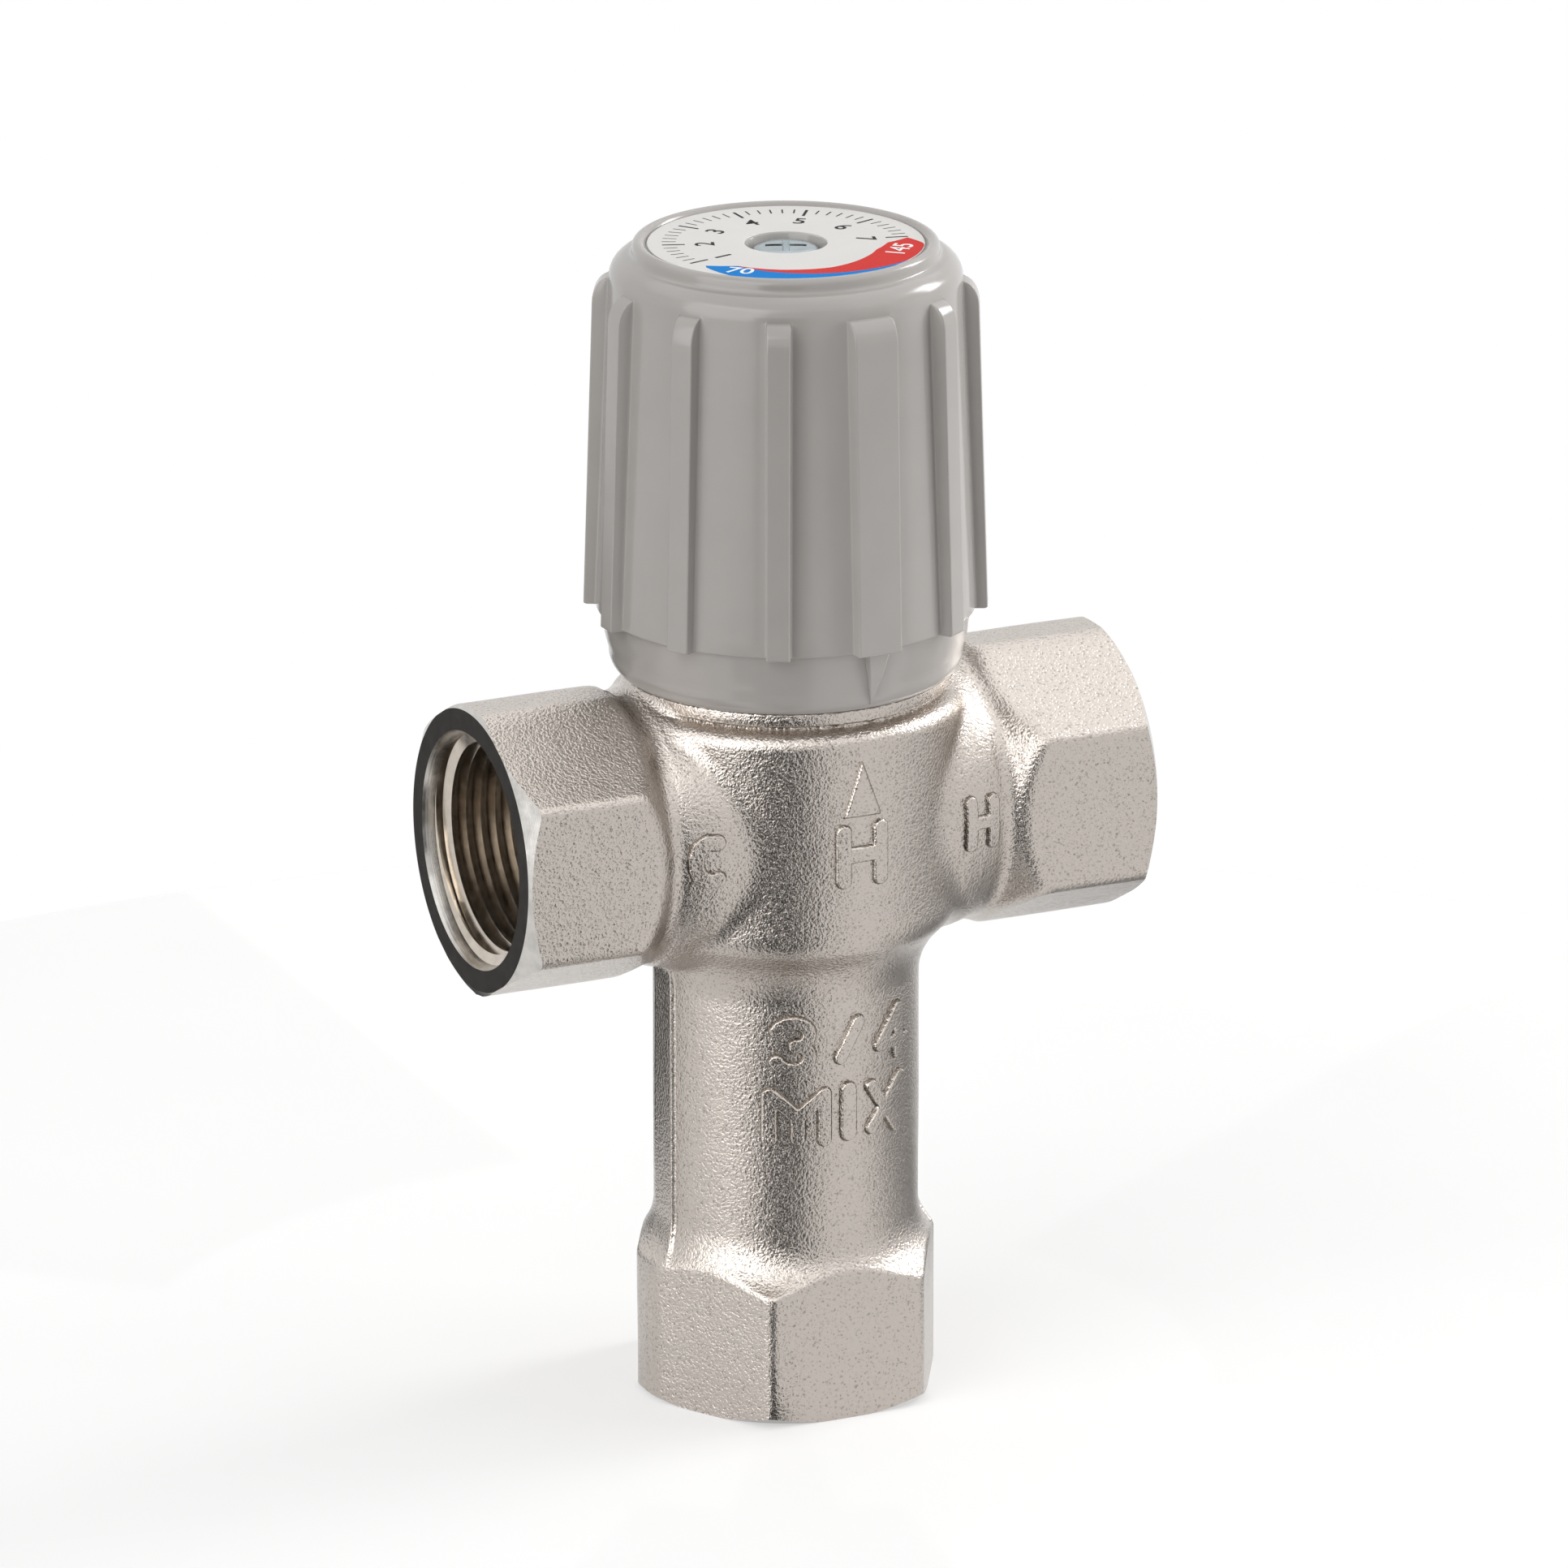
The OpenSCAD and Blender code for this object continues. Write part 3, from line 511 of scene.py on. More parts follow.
def turned_metal(name, color, roughness, along="x"):
    """Metal with fine turning lines round the X or the Z axis."""
    s = Shader(name)
    parts = s.add("ShaderNodeSeparateXYZ")
    s.link(s.place, parts.inputs[0])
    first = parts.outputs["X"] if along == "z" else s.math("SUBTRACT", parts.outputs["Z"], PORT_Z * MM)
    second = parts.outputs["Y"]
    squares = s.math("ADD", s.math("MULTIPLY", first, first), s.math("MULTIPLY", second, second))
    radius = s.math("SQRT", squares)
    reach = parts.outputs["Z"] if along == "z" else parts.outputs["X"]
    where = s.add("ShaderNodeCombineXYZ")
    s.link(radius, where.inputs["X"])
    s.link(reach, where.inputs["Y"])
    lines = s.noise(0.12, 2.0, 0.6, where.outputs[0])
    wear = s.noise(2.0, 3.0, 0.6)
    normal = s.bump(lines, 0.012, 0.7)
    s.set(
        Base_Color=s.ramp(wear, [(0.3, tuple(0.8 * c for c in color)), (0.7, color)]),
        Metallic=1.0,
        Roughness=s.spread(wear, 0.3, 0.7, roughness * 0.8, roughness * 1.3),
        Normal=normal,
    )
    return s.material


def moulded(name, color, roughness, grain=0.01, gloss=0.5):
    """Plastic, rubber or print, with a faint flow and a fine grain."""
    s = Shader(name)
    flow = s.noise(6.0, 3.0, 0.5)
    fine = s.noise(0.16, 2.0, 0.5)
    normal = s.bump(flow, 0.05, 0.5)
    normal = s.bump(fine, grain, 0.8, normal)
    tint = s.ramp(flow, [(0.3, tuple(0.96 * c for c in color)), (0.7, color)])
    shine = s.spread(fine, 0.3, 0.7, roughness * 0.9, roughness * 1.12)
    s.set(Base_Color=tint, Roughness=shine, Normal=normal, Specular_IOR_Level=gloss)
    return s.material


NICKEL = blasted_nickel("blasted_nickel", (0.52, 0.475, 0.435))
# Darker copy of the nickel, used as painted shade on the walls of the raised marks
NICKEL_PAINTED_SHADE = blasted_nickel("blasted_nickel_painted_shade", (0.2, 0.175, 0.15))
TURNED_ARM = turned_metal("turned_arm", (0.62, 0.6, 0.57), 0.2, "x")
TURNED_FACE = turned_metal("turned_face", (0.55, 0.52, 0.49), 0.1, "x")
TURNED_FOOT = turned_metal("turned_foot", (0.5, 0.48, 0.46), 0.2, "z")
THREAD_METAL = turned_metal("thread_metal", (0.6, 0.54, 0.47), 0.18, "x")
INNER_BRASS = turned_metal("inner_brass", (0.62, 0.47, 0.25), 0.3, "z")
KNOB_PLASTIC = moulded("knob_plastic", (0.37, 0.352, 0.336), 0.17, 0.004)
LABEL_FILM = moulded("label_film", (0.66, 0.648, 0.625), 0.4, 0.004)
LABEL_BLUE = moulded("label_blue", (0.0, 0.2, 0.6), 0.6, 0.004, 0.1)
LABEL_RED = moulded("label_red", (0.6, 0.035, 0.03), 0.6, 0.004, 0.1)
LABEL_BLACK = moulded("label_black", (0.015, 0.015, 0.015), 0.6, 0.004, 0.1)
LABEL_WHITE = moulded("label_white", (0.85, 0.87, 0.86), 0.4, 0.004)
ZINC = turned_metal("zinc", (0.37, 0.425, 0.45), 0.26, "z")
SPRING_STEEL = turned_metal("spring_steel", (0.5, 0.5, 0.51), 0.3, "z")
COPPER = turned_metal("copper", (0.72, 0.38, 0.24), 0.3, "z")
SEAL = moulded("seal", (0.02, 0.02, 0.02), 0.5)
SLIDE_PLASTIC = moulded("slide_plastic", (0.7, 0.68, 0.62), 0.45)


# Forged body


def field_slope(field, points, reach=0.03):
    """Outward direction of a field at each point."""
    slope = [field(*(points + d).T) - field(*(points - d).T) for d in np.eye(3) * reach]
    slope = np.stack(slope, 1)
    return slope / np.maximum(np.linalg.norm(slope, axis=1, keepdims=True), 1e-9)


def smooth_forging(body):
    """Gives the forged faces the exact normals of the field, and leaves the cut faces as they are."""
    mesh = body.data
    count = len(mesh.vertices)
    place = np.zeros(count * 3, np.float32)
    mesh.vertices.foreach_get("co", place)
    place = place.reshape(-1, 3).astype(float) / MM
    off = np.abs(body_field(*place.T))
    slope = field_slope(body_field, place)
    corners = len(mesh.loops)
    at = np.zeros(corners, np.int32)
    mesh.loops.foreach_get("vertex_index", at)
    normal = np.zeros(corners * 3, np.float32)
    mesh.corner_normals.foreach_get("vector", normal)
    normal = normal.reshape(-1, 3)
    look = np.zeros(len(mesh.polygons), np.int32)
    mesh.polygons.foreach_get("material_index", look)
    size = np.zeros(len(mesh.polygons), np.int32)
    mesh.polygons.foreach_get("loop_total", size)
    forged = (np.repeat(look, size) == 0) & (off[at] < 0.08)
    agree = (normal * slope[at]).sum(1) > 0.5
    normal[forged & agree] = slope[at][forged & agree]
    mesh.normals_split_custom_set(normal.tolist())


def build_marks(name, x_range, z_range):
    """The raised marks on one stretch of the front, as a fine skin that starts just under the forging. Faces
    low on the walls of the marks take a darker nickel, as painted shade at their foot.
    """
    step = 0.13
    xs = np.linspace(*x_range, int((x_range[1] - x_range[0]) / step) + 1)
    zs = np.linspace(*z_range, int((z_range[1] - z_range[0]) / step) + 1)
    x, z = np.meshgrid(xs, zs, indexing="ij")
    x, z = x.ravel(), z.ravel()
    y = -np.full(x.shape, 21.0)
    for _ in range(40):
        y = y + np.clip(body_field(x, y, z), -1.0, 1.5) * 0.9
    base = np.stack([x, y, z], 1)
    out = field_slope(body_field, base)
    height = mark_height(x, z)
    points = base + out * (height - 0.03)[:, None]
    rows, columns = len(xs), len(zs)
    i, j = np.meshgrid(np.arange(rows - 1), np.arange(columns - 1), indexing="ij")
    a = (i * columns + j).ravel()
    faces = np.stack([a, a + columns, a + columns + 1, a + 1], 1)
    faces = faces[(height[faces] > 0.0).any(axis=1)]
    grid = points.reshape(rows, columns, 3)
    normal = np.cross(np.gradient(grid, axis=0), np.gradient(grid, axis=1)).reshape(-1, 3)
    normal = normal / np.linalg.norm(normal, axis=1, keepdims=True)
    used = np.unique(faces)
    number = np.zeros(len(points), np.int64)
    number[used] = np.arange(len(used))
    patch = make_object(name, points[used], number[faces], [NICKEL, NICKEL_PAINTED_SHADE])
    # Faces low on each wall take the darker nickel, as painted shade at the foot of the marks
    painted_shade_wall = (height[faces].min(axis=1) < PAINTED_SHADE_HEIGHT).astype(np.int32)
    patch.data.polygons.foreach_set("material_index", painted_shade_wall)
    patch.data.normals_split_custom_set_from_vertices(normal[used].tolist())
    return patch


def build_body():
    """The forging with its mouths, middle way and two windows cut, and its turned faces told apart."""
    step = 0.36
    points, quads = surface_net(body_field, (-43.0, -21.4, -3.2), (43.0, 21.5, 88.6), step)
    looks = [NICKEL, TURNED_ARM, TURNED_FACE, TURNED_FOOT, INNER_BRASS]
    body = make_object("forged_body", points, quads, looks)
    slope = math.tan(math.radians(30))
    mouth = [(0.0, 45.0), (26.0, 45.0), (26.0, FACE_X - 9.5 * slope), (16.5, FACE_X), (MOUTH_R, FACE_X)]
    mouth += [(ROOT_R, 38.5), (ROOT_R, BORE_FLOOR_X), (0.0, BORE_FLOOR_X)]
    for side in ("x", "-x"):
        cutter = outward(*revolve(mouth, TURN_SEGMENTS, False, side, (0, 0, PORT_Z)))
        cut(body, make_object("mouth_cutter", *cutter))
    foot = [(0.0, -6.0), (26.0, -6.0), (26.0, 8.8 * slope), (17.2, 0.0), (MOUTH_R, 0.0)]
    foot += [(ROOT_R, 1.5), (ROOT_R, 18.0), (8.6, 18.0), (8.6, 38.0), (11.2, 38.0), (11.2, 62.4)]
    foot += [(15.0, 62.4), (15.0, 68.0), (12.6, 68.0), (12.6, 72.6), (15.0, 72.6), (15.0, 90.0), (0.0, 90.0)]
    cut(body, make_object("way_cutter", *outward(*revolve(foot, TURN_SEGMENTS, False))))
    for side in (-1, 1):
        z = PORT_Z - side * 5.1
        box = box_points((side * 19.0, 0.0, z), (5.4, 7.5, 2.4))
        cut(body, make_object("window_cutter", *box))
    mesh = body.data
    centre = np.zeros(len(mesh.polygons) * 3, np.float32)
    mesh.polygons.foreach_get("center", centre)
    centre = centre.reshape(-1, 3) / MM
    x, y, z = np.abs(centre[:, 0]), centre[:, 1], centre[:, 2]
    across = np.hypot(y, z - PORT_Z)
    round_z = np.hypot(x, y)
    pick = np.zeros(len(mesh.polygons), np.int32)
    on_bevel = (np.abs((FACE_X - x) - slope * (across - 16.5)) < 0.03) & (across > 16.4) & (x > 36.0)
    pick[on_bevel] = 1
    pick[(across < ROOT_R + 1.2) & (x > 22.9) & (x < 39.99)] = 1
    pick[(x > 39.985)] = 2
    foot_bevel = (np.abs(z - slope * (round_z - 17.2)) < 0.03) & (round_z > 17.1)
    pick[foot_bevel | (z < 0.01)] = 3
    pick[(round_z < 15.1) & (z > 0.02) & (z < 86.9) & (x < 23.05)] = 4
    mesh.polygons.foreach_set("material_index", pick)
    count = sum(len(p.vertices) - 2 for p in mesh.polygons)
    if count > MOST_TRIANGLES:
        thin = body.modifiers.new("thin", "DECIMATE")
        thin.ratio = THINNED_TRIANGLES / count
        bake(body)
        mesh = body.data
    mesh.polygons.foreach_set("use_smooth", [True] * len(mesh.polygons))
    mesh.set_sharp_from_angle(angle=math.radians(24))
    smooth_forging(body)
    return body


def outward(points, faces):
    """Turns faces so that the closed shape has a positive volume."""
    points = np.asarray(points, float)
    volume = 0.0
    for f in faces:
        for i in range(1, len(f) - 1):
            volume += np.dot(points[f[0]], np.cross(points[f[i]], points[f[i + 1]]))
    if volume < 0:
        faces = [f[::-1] for f in faces]
    return points, faces


def box_points(centre, half):
    """Points and faces of a box."""
    cx, cy, cz = centre
    hx, hy, hz = half
    points = [(cx + i * hx, cy + j * hy, cz + k * hz) for i in (-1, 1) for j in (-1, 1) for k in (-1, 1)]
    faces = [(0, 1, 3, 2), (4, 6, 7, 5), (0, 4, 5, 1), (2, 3, 7, 6), (0, 2, 6, 4), (1, 5, 7, 3)]
    return outward(points, faces)


def build_thread(name, material, axis, offset, depth):
    """Cut thread of a taper pipe bore, as ridges that follow the helix. Mouth at height 0, running down."""
    segments = TURN_SEGMENTS
    shares = [(0.0, 0.0), (0.08, 0.0), (0.4, 1.0), (0.6, 1.0), (0.92, 0.0)]
    turns = int(depth / PITCH) + 1
    points = []
    rows = turns * len(shares)
    for row in range(rows):
        share, crest = shares[row % len(shares)]
        for i in range(segments + 1):
            turn = i / segments
            down = (row // len(shares) + share + turn) * PITCH - PITCH
            down = min(max(down, 1.45), depth)
            root = ROOT_R - 0.02 - down / 32.0
            r = root - crest * 1.12
            flare = ROOT_R + 0.03 - (down - 1.45) * 1.9
            a = 2 * math.pi * turn
            points.append((max(r, flare) * math.cos(a), max(r, flare) * math.sin(a), -down))
    faces = []
    for row in range(rows - 1):
        for i in range(segments):
            a = row * (segments + 1) + i
            faces.append((a, a + 1, a + segments + 2, a + segments + 1))
    points = along_axis(points, axis, offset)
    return make_object(name, points, [f[::-1] for f in faces], [material], True, 40)


# Knob


def knob_rows():
    """Rows of the outer skin: drum radius, height and rib radius."""
    rows = [(15.98, 137.7, 0.0), (16.05, 137.74, 0.0), (16.1, 137.9, 0.0)]
    rows += [(r, z, 0.0) for r, z in arc(16.88, 137.52, 0.78, 0.78, 155, 8, 10)]
    rows += [(17.68, 137.25, 0.0), (17.7, 137.0, 0.0), (17.78, 136.82, 0.0), (17.92, 136.71, 0.0)]
    rows += [(r, z, 0.0) for r, z in arc(17.7, 134.05, 2.6, 2.6, 80, 6, 14)]
    top, crown = 133.95, 130.9
    for i in range(9):
        a = math.radians(90 * (1 - i / 8))
        z = crown + 3.05 * math.sin(a)
        rows.append((drum_radius(z), z, 20.0 + 2.2 * math.cos(a)))
    for i in range(1, 25):
        z = crown + (95.2 - crown) * i / 24
        rows.append((drum_radius(z), z, 22.2 + 1.14 * i / 24))
    rows += [(21.93, 95.02, 23.33), (21.86, 94.92, 23.26), (21.7, 94.86, 23.1), (21.42, 94.84, 0.0)]
    skirt = [(21.34, 94.6), (21.15, 93.2), (20.98, 91.8), (20.72, 90.8), (20.53, 90.1)]
    rows += [(r, z, 0.0) for r, z in skirt]
    rows += [(r, z, 0.0) for r, z in arc(18.2, 89.7, 2.3, 2.55, 0, -90, 10)]
    hollow = [(18.05, 87.2), (18.0, 87.6), (17.7, 112.0), (17.4, 133.2), (17.0, 133.7), (8.05, 133.7)]
    return rows + [(r, z, 0.0) for r, z in hollow]


def drum_radius(z):
    """The drum widens downwards."""
    return 20.3 + (133.9 - z) * (21.95 - 20.3) / 38.9


def build_knob():
    """Skin of the knob: rows of points that step out at each rib, each rib with rounded edges."""
    rows = knob_rows()
    points = []
    edge = [(RIB_FOOT, "d", 0.0), (0.12, "d", 0.08), (0.04, "d", 0.4), (0.01, "d", 1.0)]
    edge += [(0.0, "r", 1.0), (-0.04, "r", 0.4), (-0.11, "r", 0.06), (-0.24, "r", 0.0)]
    for drum, z, rib in rows:
        for k in range(RIBS):
            middle = -math.pi / 2 + KNOB_TURN + k * 2 * math.pi / RIBS
            width = WIDE_RIB_WIDTH if k == 0 else RIB_WIDTH
            columns = [(-(width / 2 + t), kind, share) for t, kind, share in edge]
            columns.append((0.0, "r", 0.0))
            columns += [(width / 2 + t, kind, share) for t, kind, share in reversed(edge)]
            for t, kind, share in columns:
                t = t * min(1.0, drum / 20.0)
                base = math.sqrt(drum * drum - t * t)
                rise = max(rib - base, 0.0)
                small = min(rise, RIB_FOOT)
                out = base + share * small if kind == "d" else base + rise - share * min(rise, 0.16)
                if rise <= 0.0:
                    out = base
                c, s = math.cos(middle), math.sin(middle)
                points.append((out * c - t * s, out * s + t * c, z))
            reach = (width / 2 + RIB_FOOT) * min(1.0, drum / 20.0)
            start = middle + math.asin(reach / drum)
            next_width = WIDE_RIB_WIDTH if k == RIBS - 1 else RIB_WIDTH
            next_reach = (next_width / 2 + RIB_FOOT) * min(1.0, drum / 20.0)
            stop = middle + 2 * math.pi / RIBS - math.asin(next_reach / drum)
            for i in range(1, GAP_COLUMNS):
                a = start + (stop - start) * i / GAP_COLUMNS
                points.append((drum * math.cos(a), drum * math.sin(a), z))
    across = RIBS * (2 * len(edge) + GAP_COLUMNS)
    faces = []
    for row in range(len(rows) - 1):
        for i in range(across):
            j = (i + 1) % across
            low, high = row * across, (row + 1) * across
            faces.append((low + i, high + i, high + j, low + j))
    return make_object("knob_shell", points, faces, [KNOB_PLASTIC], True, 50)


def build_pointer():
    """Raised triangle on the skirt under the wide rib."""
    middle = -math.pi / 2 + KNOB_TURN + math.radians(0.9)
    rows = 14
    skin_z = [88.0, 88.9, 90.1, 91.8, 94.6, 95.0]
    skin_r = [19.75, 20.3, 20.53, 20.98, 21.34, 21.4]
    points = []
    for i in range(rows + 1):
        z = 95.0 - 6.9 * i / rows
        half = 1.5 * (1 - i / rows) + 0.02
        skin = float(np.interp(z, skin_z, skin_r))
        for t, lift in ((-1.0, -0.3), (-1.0, 0.72), (-0.86, 0.85), (0.86, 0.85), (1.0, 0.72), (1.0, -0.3)):
            r = skin + lift * (0.4 + 0.6 * (1 - i / rows))
            c, s = math.cos(middle), math.sin(middle)
            points.append((r * c - t * half * s, r * s + t * half * c, z))
    faces = []
    for i in range(rows):
        for j in range(5):
            a = i * 6 + j
            faces.append((a, a + 6, a + 7, a + 1))
    last = rows * 6
    faces.append(tuple(range(last, last + 6)))
    return make_object("knob_pointer", points, faces, [KNOB_PLASTIC], True, 30)


def build_knob_core():
    """Hub and stop rib inside the knob, and the well of the screw."""
    hub = [(4.75, 137.7), (4.66, 137.55), (4.2, 136.4), (4.15, 134.9), (2.1, 134.9), (2.1, 131.4)]
    hub += [(4.65, 131.3), (4.65, 117.8), (7.9, 117.7), (8.0, 117.9), (8.0, 133.8)]
    points, faces = revolve(hub, 72, False)
    core = make_object("knob_core", points, faces, [KNOB_PLASTIC], True, 30)
    top, top_faces = revolve([(4.75, 137.7), (15.98, 137.7)], 96, False)
    deck = make_object("knob_deck", top, top_faces, [KNOB_PLASTIC], True, 30)
    start, stop = math.radians(90 - 60), math.radians(90 - 42)
    outline = [(8.0, start), (8.0, stop), (13.2, stop), (13.2, start)]
    points = [(r * math.cos(a), r * math.sin(a), z) for z in (117.7, 133.8) for r, a in outline]
    faces = [(0, 1, 2, 3), (7, 6, 5, 4), (0, 4, 5, 1), (1, 5, 6, 2), (2, 6, 7, 3), (3, 7, 4, 0)]
    rib = make_object("knob_stop_rib", points, faces, [KNOB_PLASTIC], False)
    return [core, deck, rib]


# Label and screw


def sheet_between(name, inner, outer, top, material):
    """Thin printed field between two lists of (radius, degrees)."""
    points = []
    for r, a in inner + outer:
        points.append((r * math.cos(math.radians(a)), r * math.sin(math.radians(a)), top))
    n = len(inner)
    faces = [(i, n + i, n + i + 1, i + 1) for i in range(n - 1)]
    return make_object(name, points, faces, [material], False)


def print_text(name, text, size, radius, angle, turn, top, material):
    """Plain numbers on the label, as flat outlines."""
    curve = bpy.data.curves.new(name, "FONT")
    curve.body = text
    curve.size = size * MM
    curve.align_x = "CENTER"
    curve.align_y = "CENTER"
    curve.extrude = 0.006 * MM
    curve.offset = 0.035 * MM
    curve.resolution_u = 4
    made = bpy.data.objects.new(name, curve)
    bpy.context.scene.collection.objects.link(made)
    graph = bpy.context.evaluated_depsgraph_get()
    graph.update()
    mesh = bpy.data.meshes.new_from_object(made.evaluated_get(graph))
    bpy.data.objects.remove(made)
    a = math.radians(angle)
    t = math.radians(turn)
    count = len(mesh.vertices)
    flat = np.zeros(count * 3, np.float32)
    mesh.vertices.foreach_get("co", flat)
    flat = flat.reshape(-1, 3).astype(float)
    spun = flat.copy()
    spun[:, 0] = flat[:, 0] * math.cos(t) - flat[:, 1] * math.sin(t) + radius * MM * math.cos(a)
    spun[:, 1] = flat[:, 0] * math.sin(t) + flat[:, 1] * math.cos(t) + radius * MM * math.sin(a)
    spun[:, 2] += top * MM
    mesh.vertices.foreach_set("co", spun.ravel())
    mesh.materials.clear()
    mesh.materials.append(material)
    mesh.update()
    piece = bpy.data.objects.new(name, mesh)
    bpy.context.scene.collection.objects.link(piece)
    return piece


def build_label():
    """Round label with a cold and a hot band, the numbers at their ends, and a plain scale from 1 to 7."""
    top = LABEL_Z + LABEL_THICKNESS
    disc = [(4.76, LABEL_Z), (4.76, top - 0.05), (4.81, top), (15.85, top)]
    disc += [(15.9, top - 0.05), (15.9, LABEL_Z)]
    points, faces = revolve(disc, TURN_SEGMENTS, True)
    made = [make_object("label_disc", points, faces, [LABEL_FILM], True, 30)]
    blue_in = [(13.6, 203.0), (12.7, 209.0), (11.6, 217.0)]
    blue_edge = ([217, 240, 270, 290, 306], [11.6, 12.9, 14.4, 15.2, 15.85])
    blue_in += [(float(np.interp(a, *blue_edge)), a) for a in np.linspace(220, 306, 30)]
    blue_angles = np.linspace(205, 306, len(blue_in))
    blue_out = [(float(np.interp(i, [0, 6], [14.1, 15.88])), a) for i, a in enumerate(blue_angles)]
    made.append(sheet_between("label_band_cold", blue_in, blue_out, top + PRINT_LIFT, LABEL_BLUE))
    inner_edge = ([217, 240, 270, 300, 318, 334, 343], [11.6, 11.85, 12.0, 11.1, 10.8, 11.6, 14.0])
    outer_edge = ([217, 240, 270, 290, 306, 333, 343], [11.7, 12.9, 14.4, 15.2, 15.85, 15.85, 14.1])
    angles = np.linspace(217, 343, 44)
    red_in = [(float(np.interp(a, *inner_edge)), a) for a in angles]
    red_out = [(float(np.interp(a, *outer_edge)), a) for a in angles]
    made.append(sheet_between("label_band_hot", red_in, red_out, top + 0.014, LABEL_RED))
    made.append(print_text("label_low_number", "70", 3.3, 13.4, 222, -42, top + 0.03, LABEL_WHITE))
    made.append(print_text("label_high_number", "145", 3.3, 13.4, 322, 48, top + 0.03, LABEL_WHITE))
    points = []
    faces = []
    for i in range(0, 37):
        a = math.radians(345 + i * 210 / 36)
        long_one = i % 6 == 0
        inner = 11.6 if long_one else 12.6
        half = 0.17 if long_one else 0.09
        c, s = math.cos(a), math.sin(a)
        base = len(points)
        for r, t in ((inner, -half), (14.2, -half), (14.2, half), (inner, half)):
            points.append((r * c - t * s, r * s + t * c, top + PRINT_LIFT))
        faces.append((base, base + 1, base + 2, base + 3))
    made.append(make_object("label_scale", points, faces, [LABEL_BLACK], False))
    for i in range(7):
        a = 555 - i * 35
        name = f"label_number_{i + 1}"
        made.append(print_text(name, str(i + 1), 3.2, 9.2, a, a - 90, top + PRINT_LIFT, LABEL_BLACK))
    return made


def build_screw():
    """Screw with a domed head and a cross recess."""
    head = [(0.0, 137.64), (1.8, 137.62), (2.8, 137.56), (3.4, 137.42), (3.72, 137.15), (3.84, 136.8)]
    head += [(3.85, 136.0), (3.85, 134.92), (2.0, 134.9), (2.0, 124.0), (1.4, 122.9), (0.0, 122.9)]
    points, faces = outward(*revolve(head, 72, False))
    screw = make_object("screw_head", points, faces, [ZINC, ZINC], True, 35)
    turn = math.radians(65)
    for k in range(2):
        a = turn + k * math.pi / 2
        outline = [(-2.35, -0.42), (2.35, -0.42), (2.35, 0.42), (-2.35, 0.42)]
        deep = [(-1.2, -0.3), (1.2, -0.3), (1.2, 0.3), (-1.2, 0.3)]
        points = []
        wide = [(u * 1.1, v * 1.15) for u, v in outline]
        c, s = math.cos(a), math.sin(a)
        for z, shape in ((138.5, wide), (137.5, outline), (135.6, deep)):
            points += [(u * c - v * s, u * s + v * c, z) for u, v in shape]
        faces = [(0, 1, 2, 3), (11, 10, 9, 8)]
        for level in (0, 4):
            for i in range(4):
                j = (i + 1) % 4
                faces.append((level + i, level + 4 + i, level + 4 + j, level + j))
        cut(screw, make_object("cross_cutter", *outward(points, faces)))
    screw.data.set_sharp_from_angle(angle=math.radians(30))
    return screw


def build_spring(name, mean_r, wire, low, high, turns, material):
    """Round wire coil with closed and ground end turns."""
    sides = 12
    steps = int(turns * 36)
    rise = high - low - wire
    end = 1.04 * wire / rise
    points = []
    for i in range(steps + 1):
        t = i / steps
        if t * turns < 1:
            share = end * t * turns
        elif (1 - t) * turns < 1:
            share = 1 - end * (1 - t) * turns
        else:
            share = end + (1 - 2 * end) * (t * turns - 1) / (turns - 2)
        a = 2 * math.pi * turns * t
        z = low + wire / 2 + rise * share
        for k in range(sides):
            b = 2 * math.pi * k / sides
            r = mean_r + wire / 2 * math.cos(b)
            h = min(max(z + wire / 2 * math.sin(b), low), high)
            points.append((r * math.cos(a), r * math.sin(a), h))
    faces = []
    for i in range(steps):
        for k in range(sides):
            n = (k + 1) % sides
            faces.append((i * sides + k, (i + 1) * sides + k, (i + 1) * sides + n, i * sides + n))
    faces.append(tuple(range(sides)))
    faces.append(tuple(range((steps + 1) * sides - 1, steps * sides - 1, -1)))
    return make_object(name, points, faces, [material], True, 50)


body = build_body()
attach(body, "housing")
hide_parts("valve_body")

marks = [
    build_marks("marks_of_outlet", (-9.4, 9.9), (33.2, 49.9)),
    build_marks("marks_of_barrel", (-3.5, 3.5), (66.3, 82.0)),
    build_marks("mark_of_hot_side", (14.6, 19.8), (67.1, 74.3)),
    build_marks("mark_of_cold_side", (-20.1, -15.2), (67.3, 74.2)),
]
for piece in marks:
    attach(piece, "housing")

threads = [
    build_thread("thread_cold", THREAD_METAL, "-x", (-FACE_X, 0.0, PORT_Z), 16.9),
    build_thread("thread_hot", THREAD_METAL, "x", (FACE_X, 0.0, PORT_Z), 16.9),
    build_thread("thread_mix", THREAD_METAL, "-z", (0.0, 0.0, 0.0), 17.9),
]
for piece in threads:
    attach(piece, "housing")

knob = build_knob()
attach(knob, "handle")
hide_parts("knob")
for piece in [build_pointer()] + build_knob_core():
    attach(piece, "handle")

label = build_label()
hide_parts("knob_label")
for piece in label:
    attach(piece, "handle")

screw = build_screw()
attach(screw, "handle")
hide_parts("knob_screw")

spring = build_spring("return_coil", 9.0, 1.5, 38.0, 66.3, 7, SPRING_STEEL)
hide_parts("return_spring")
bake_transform(spring)

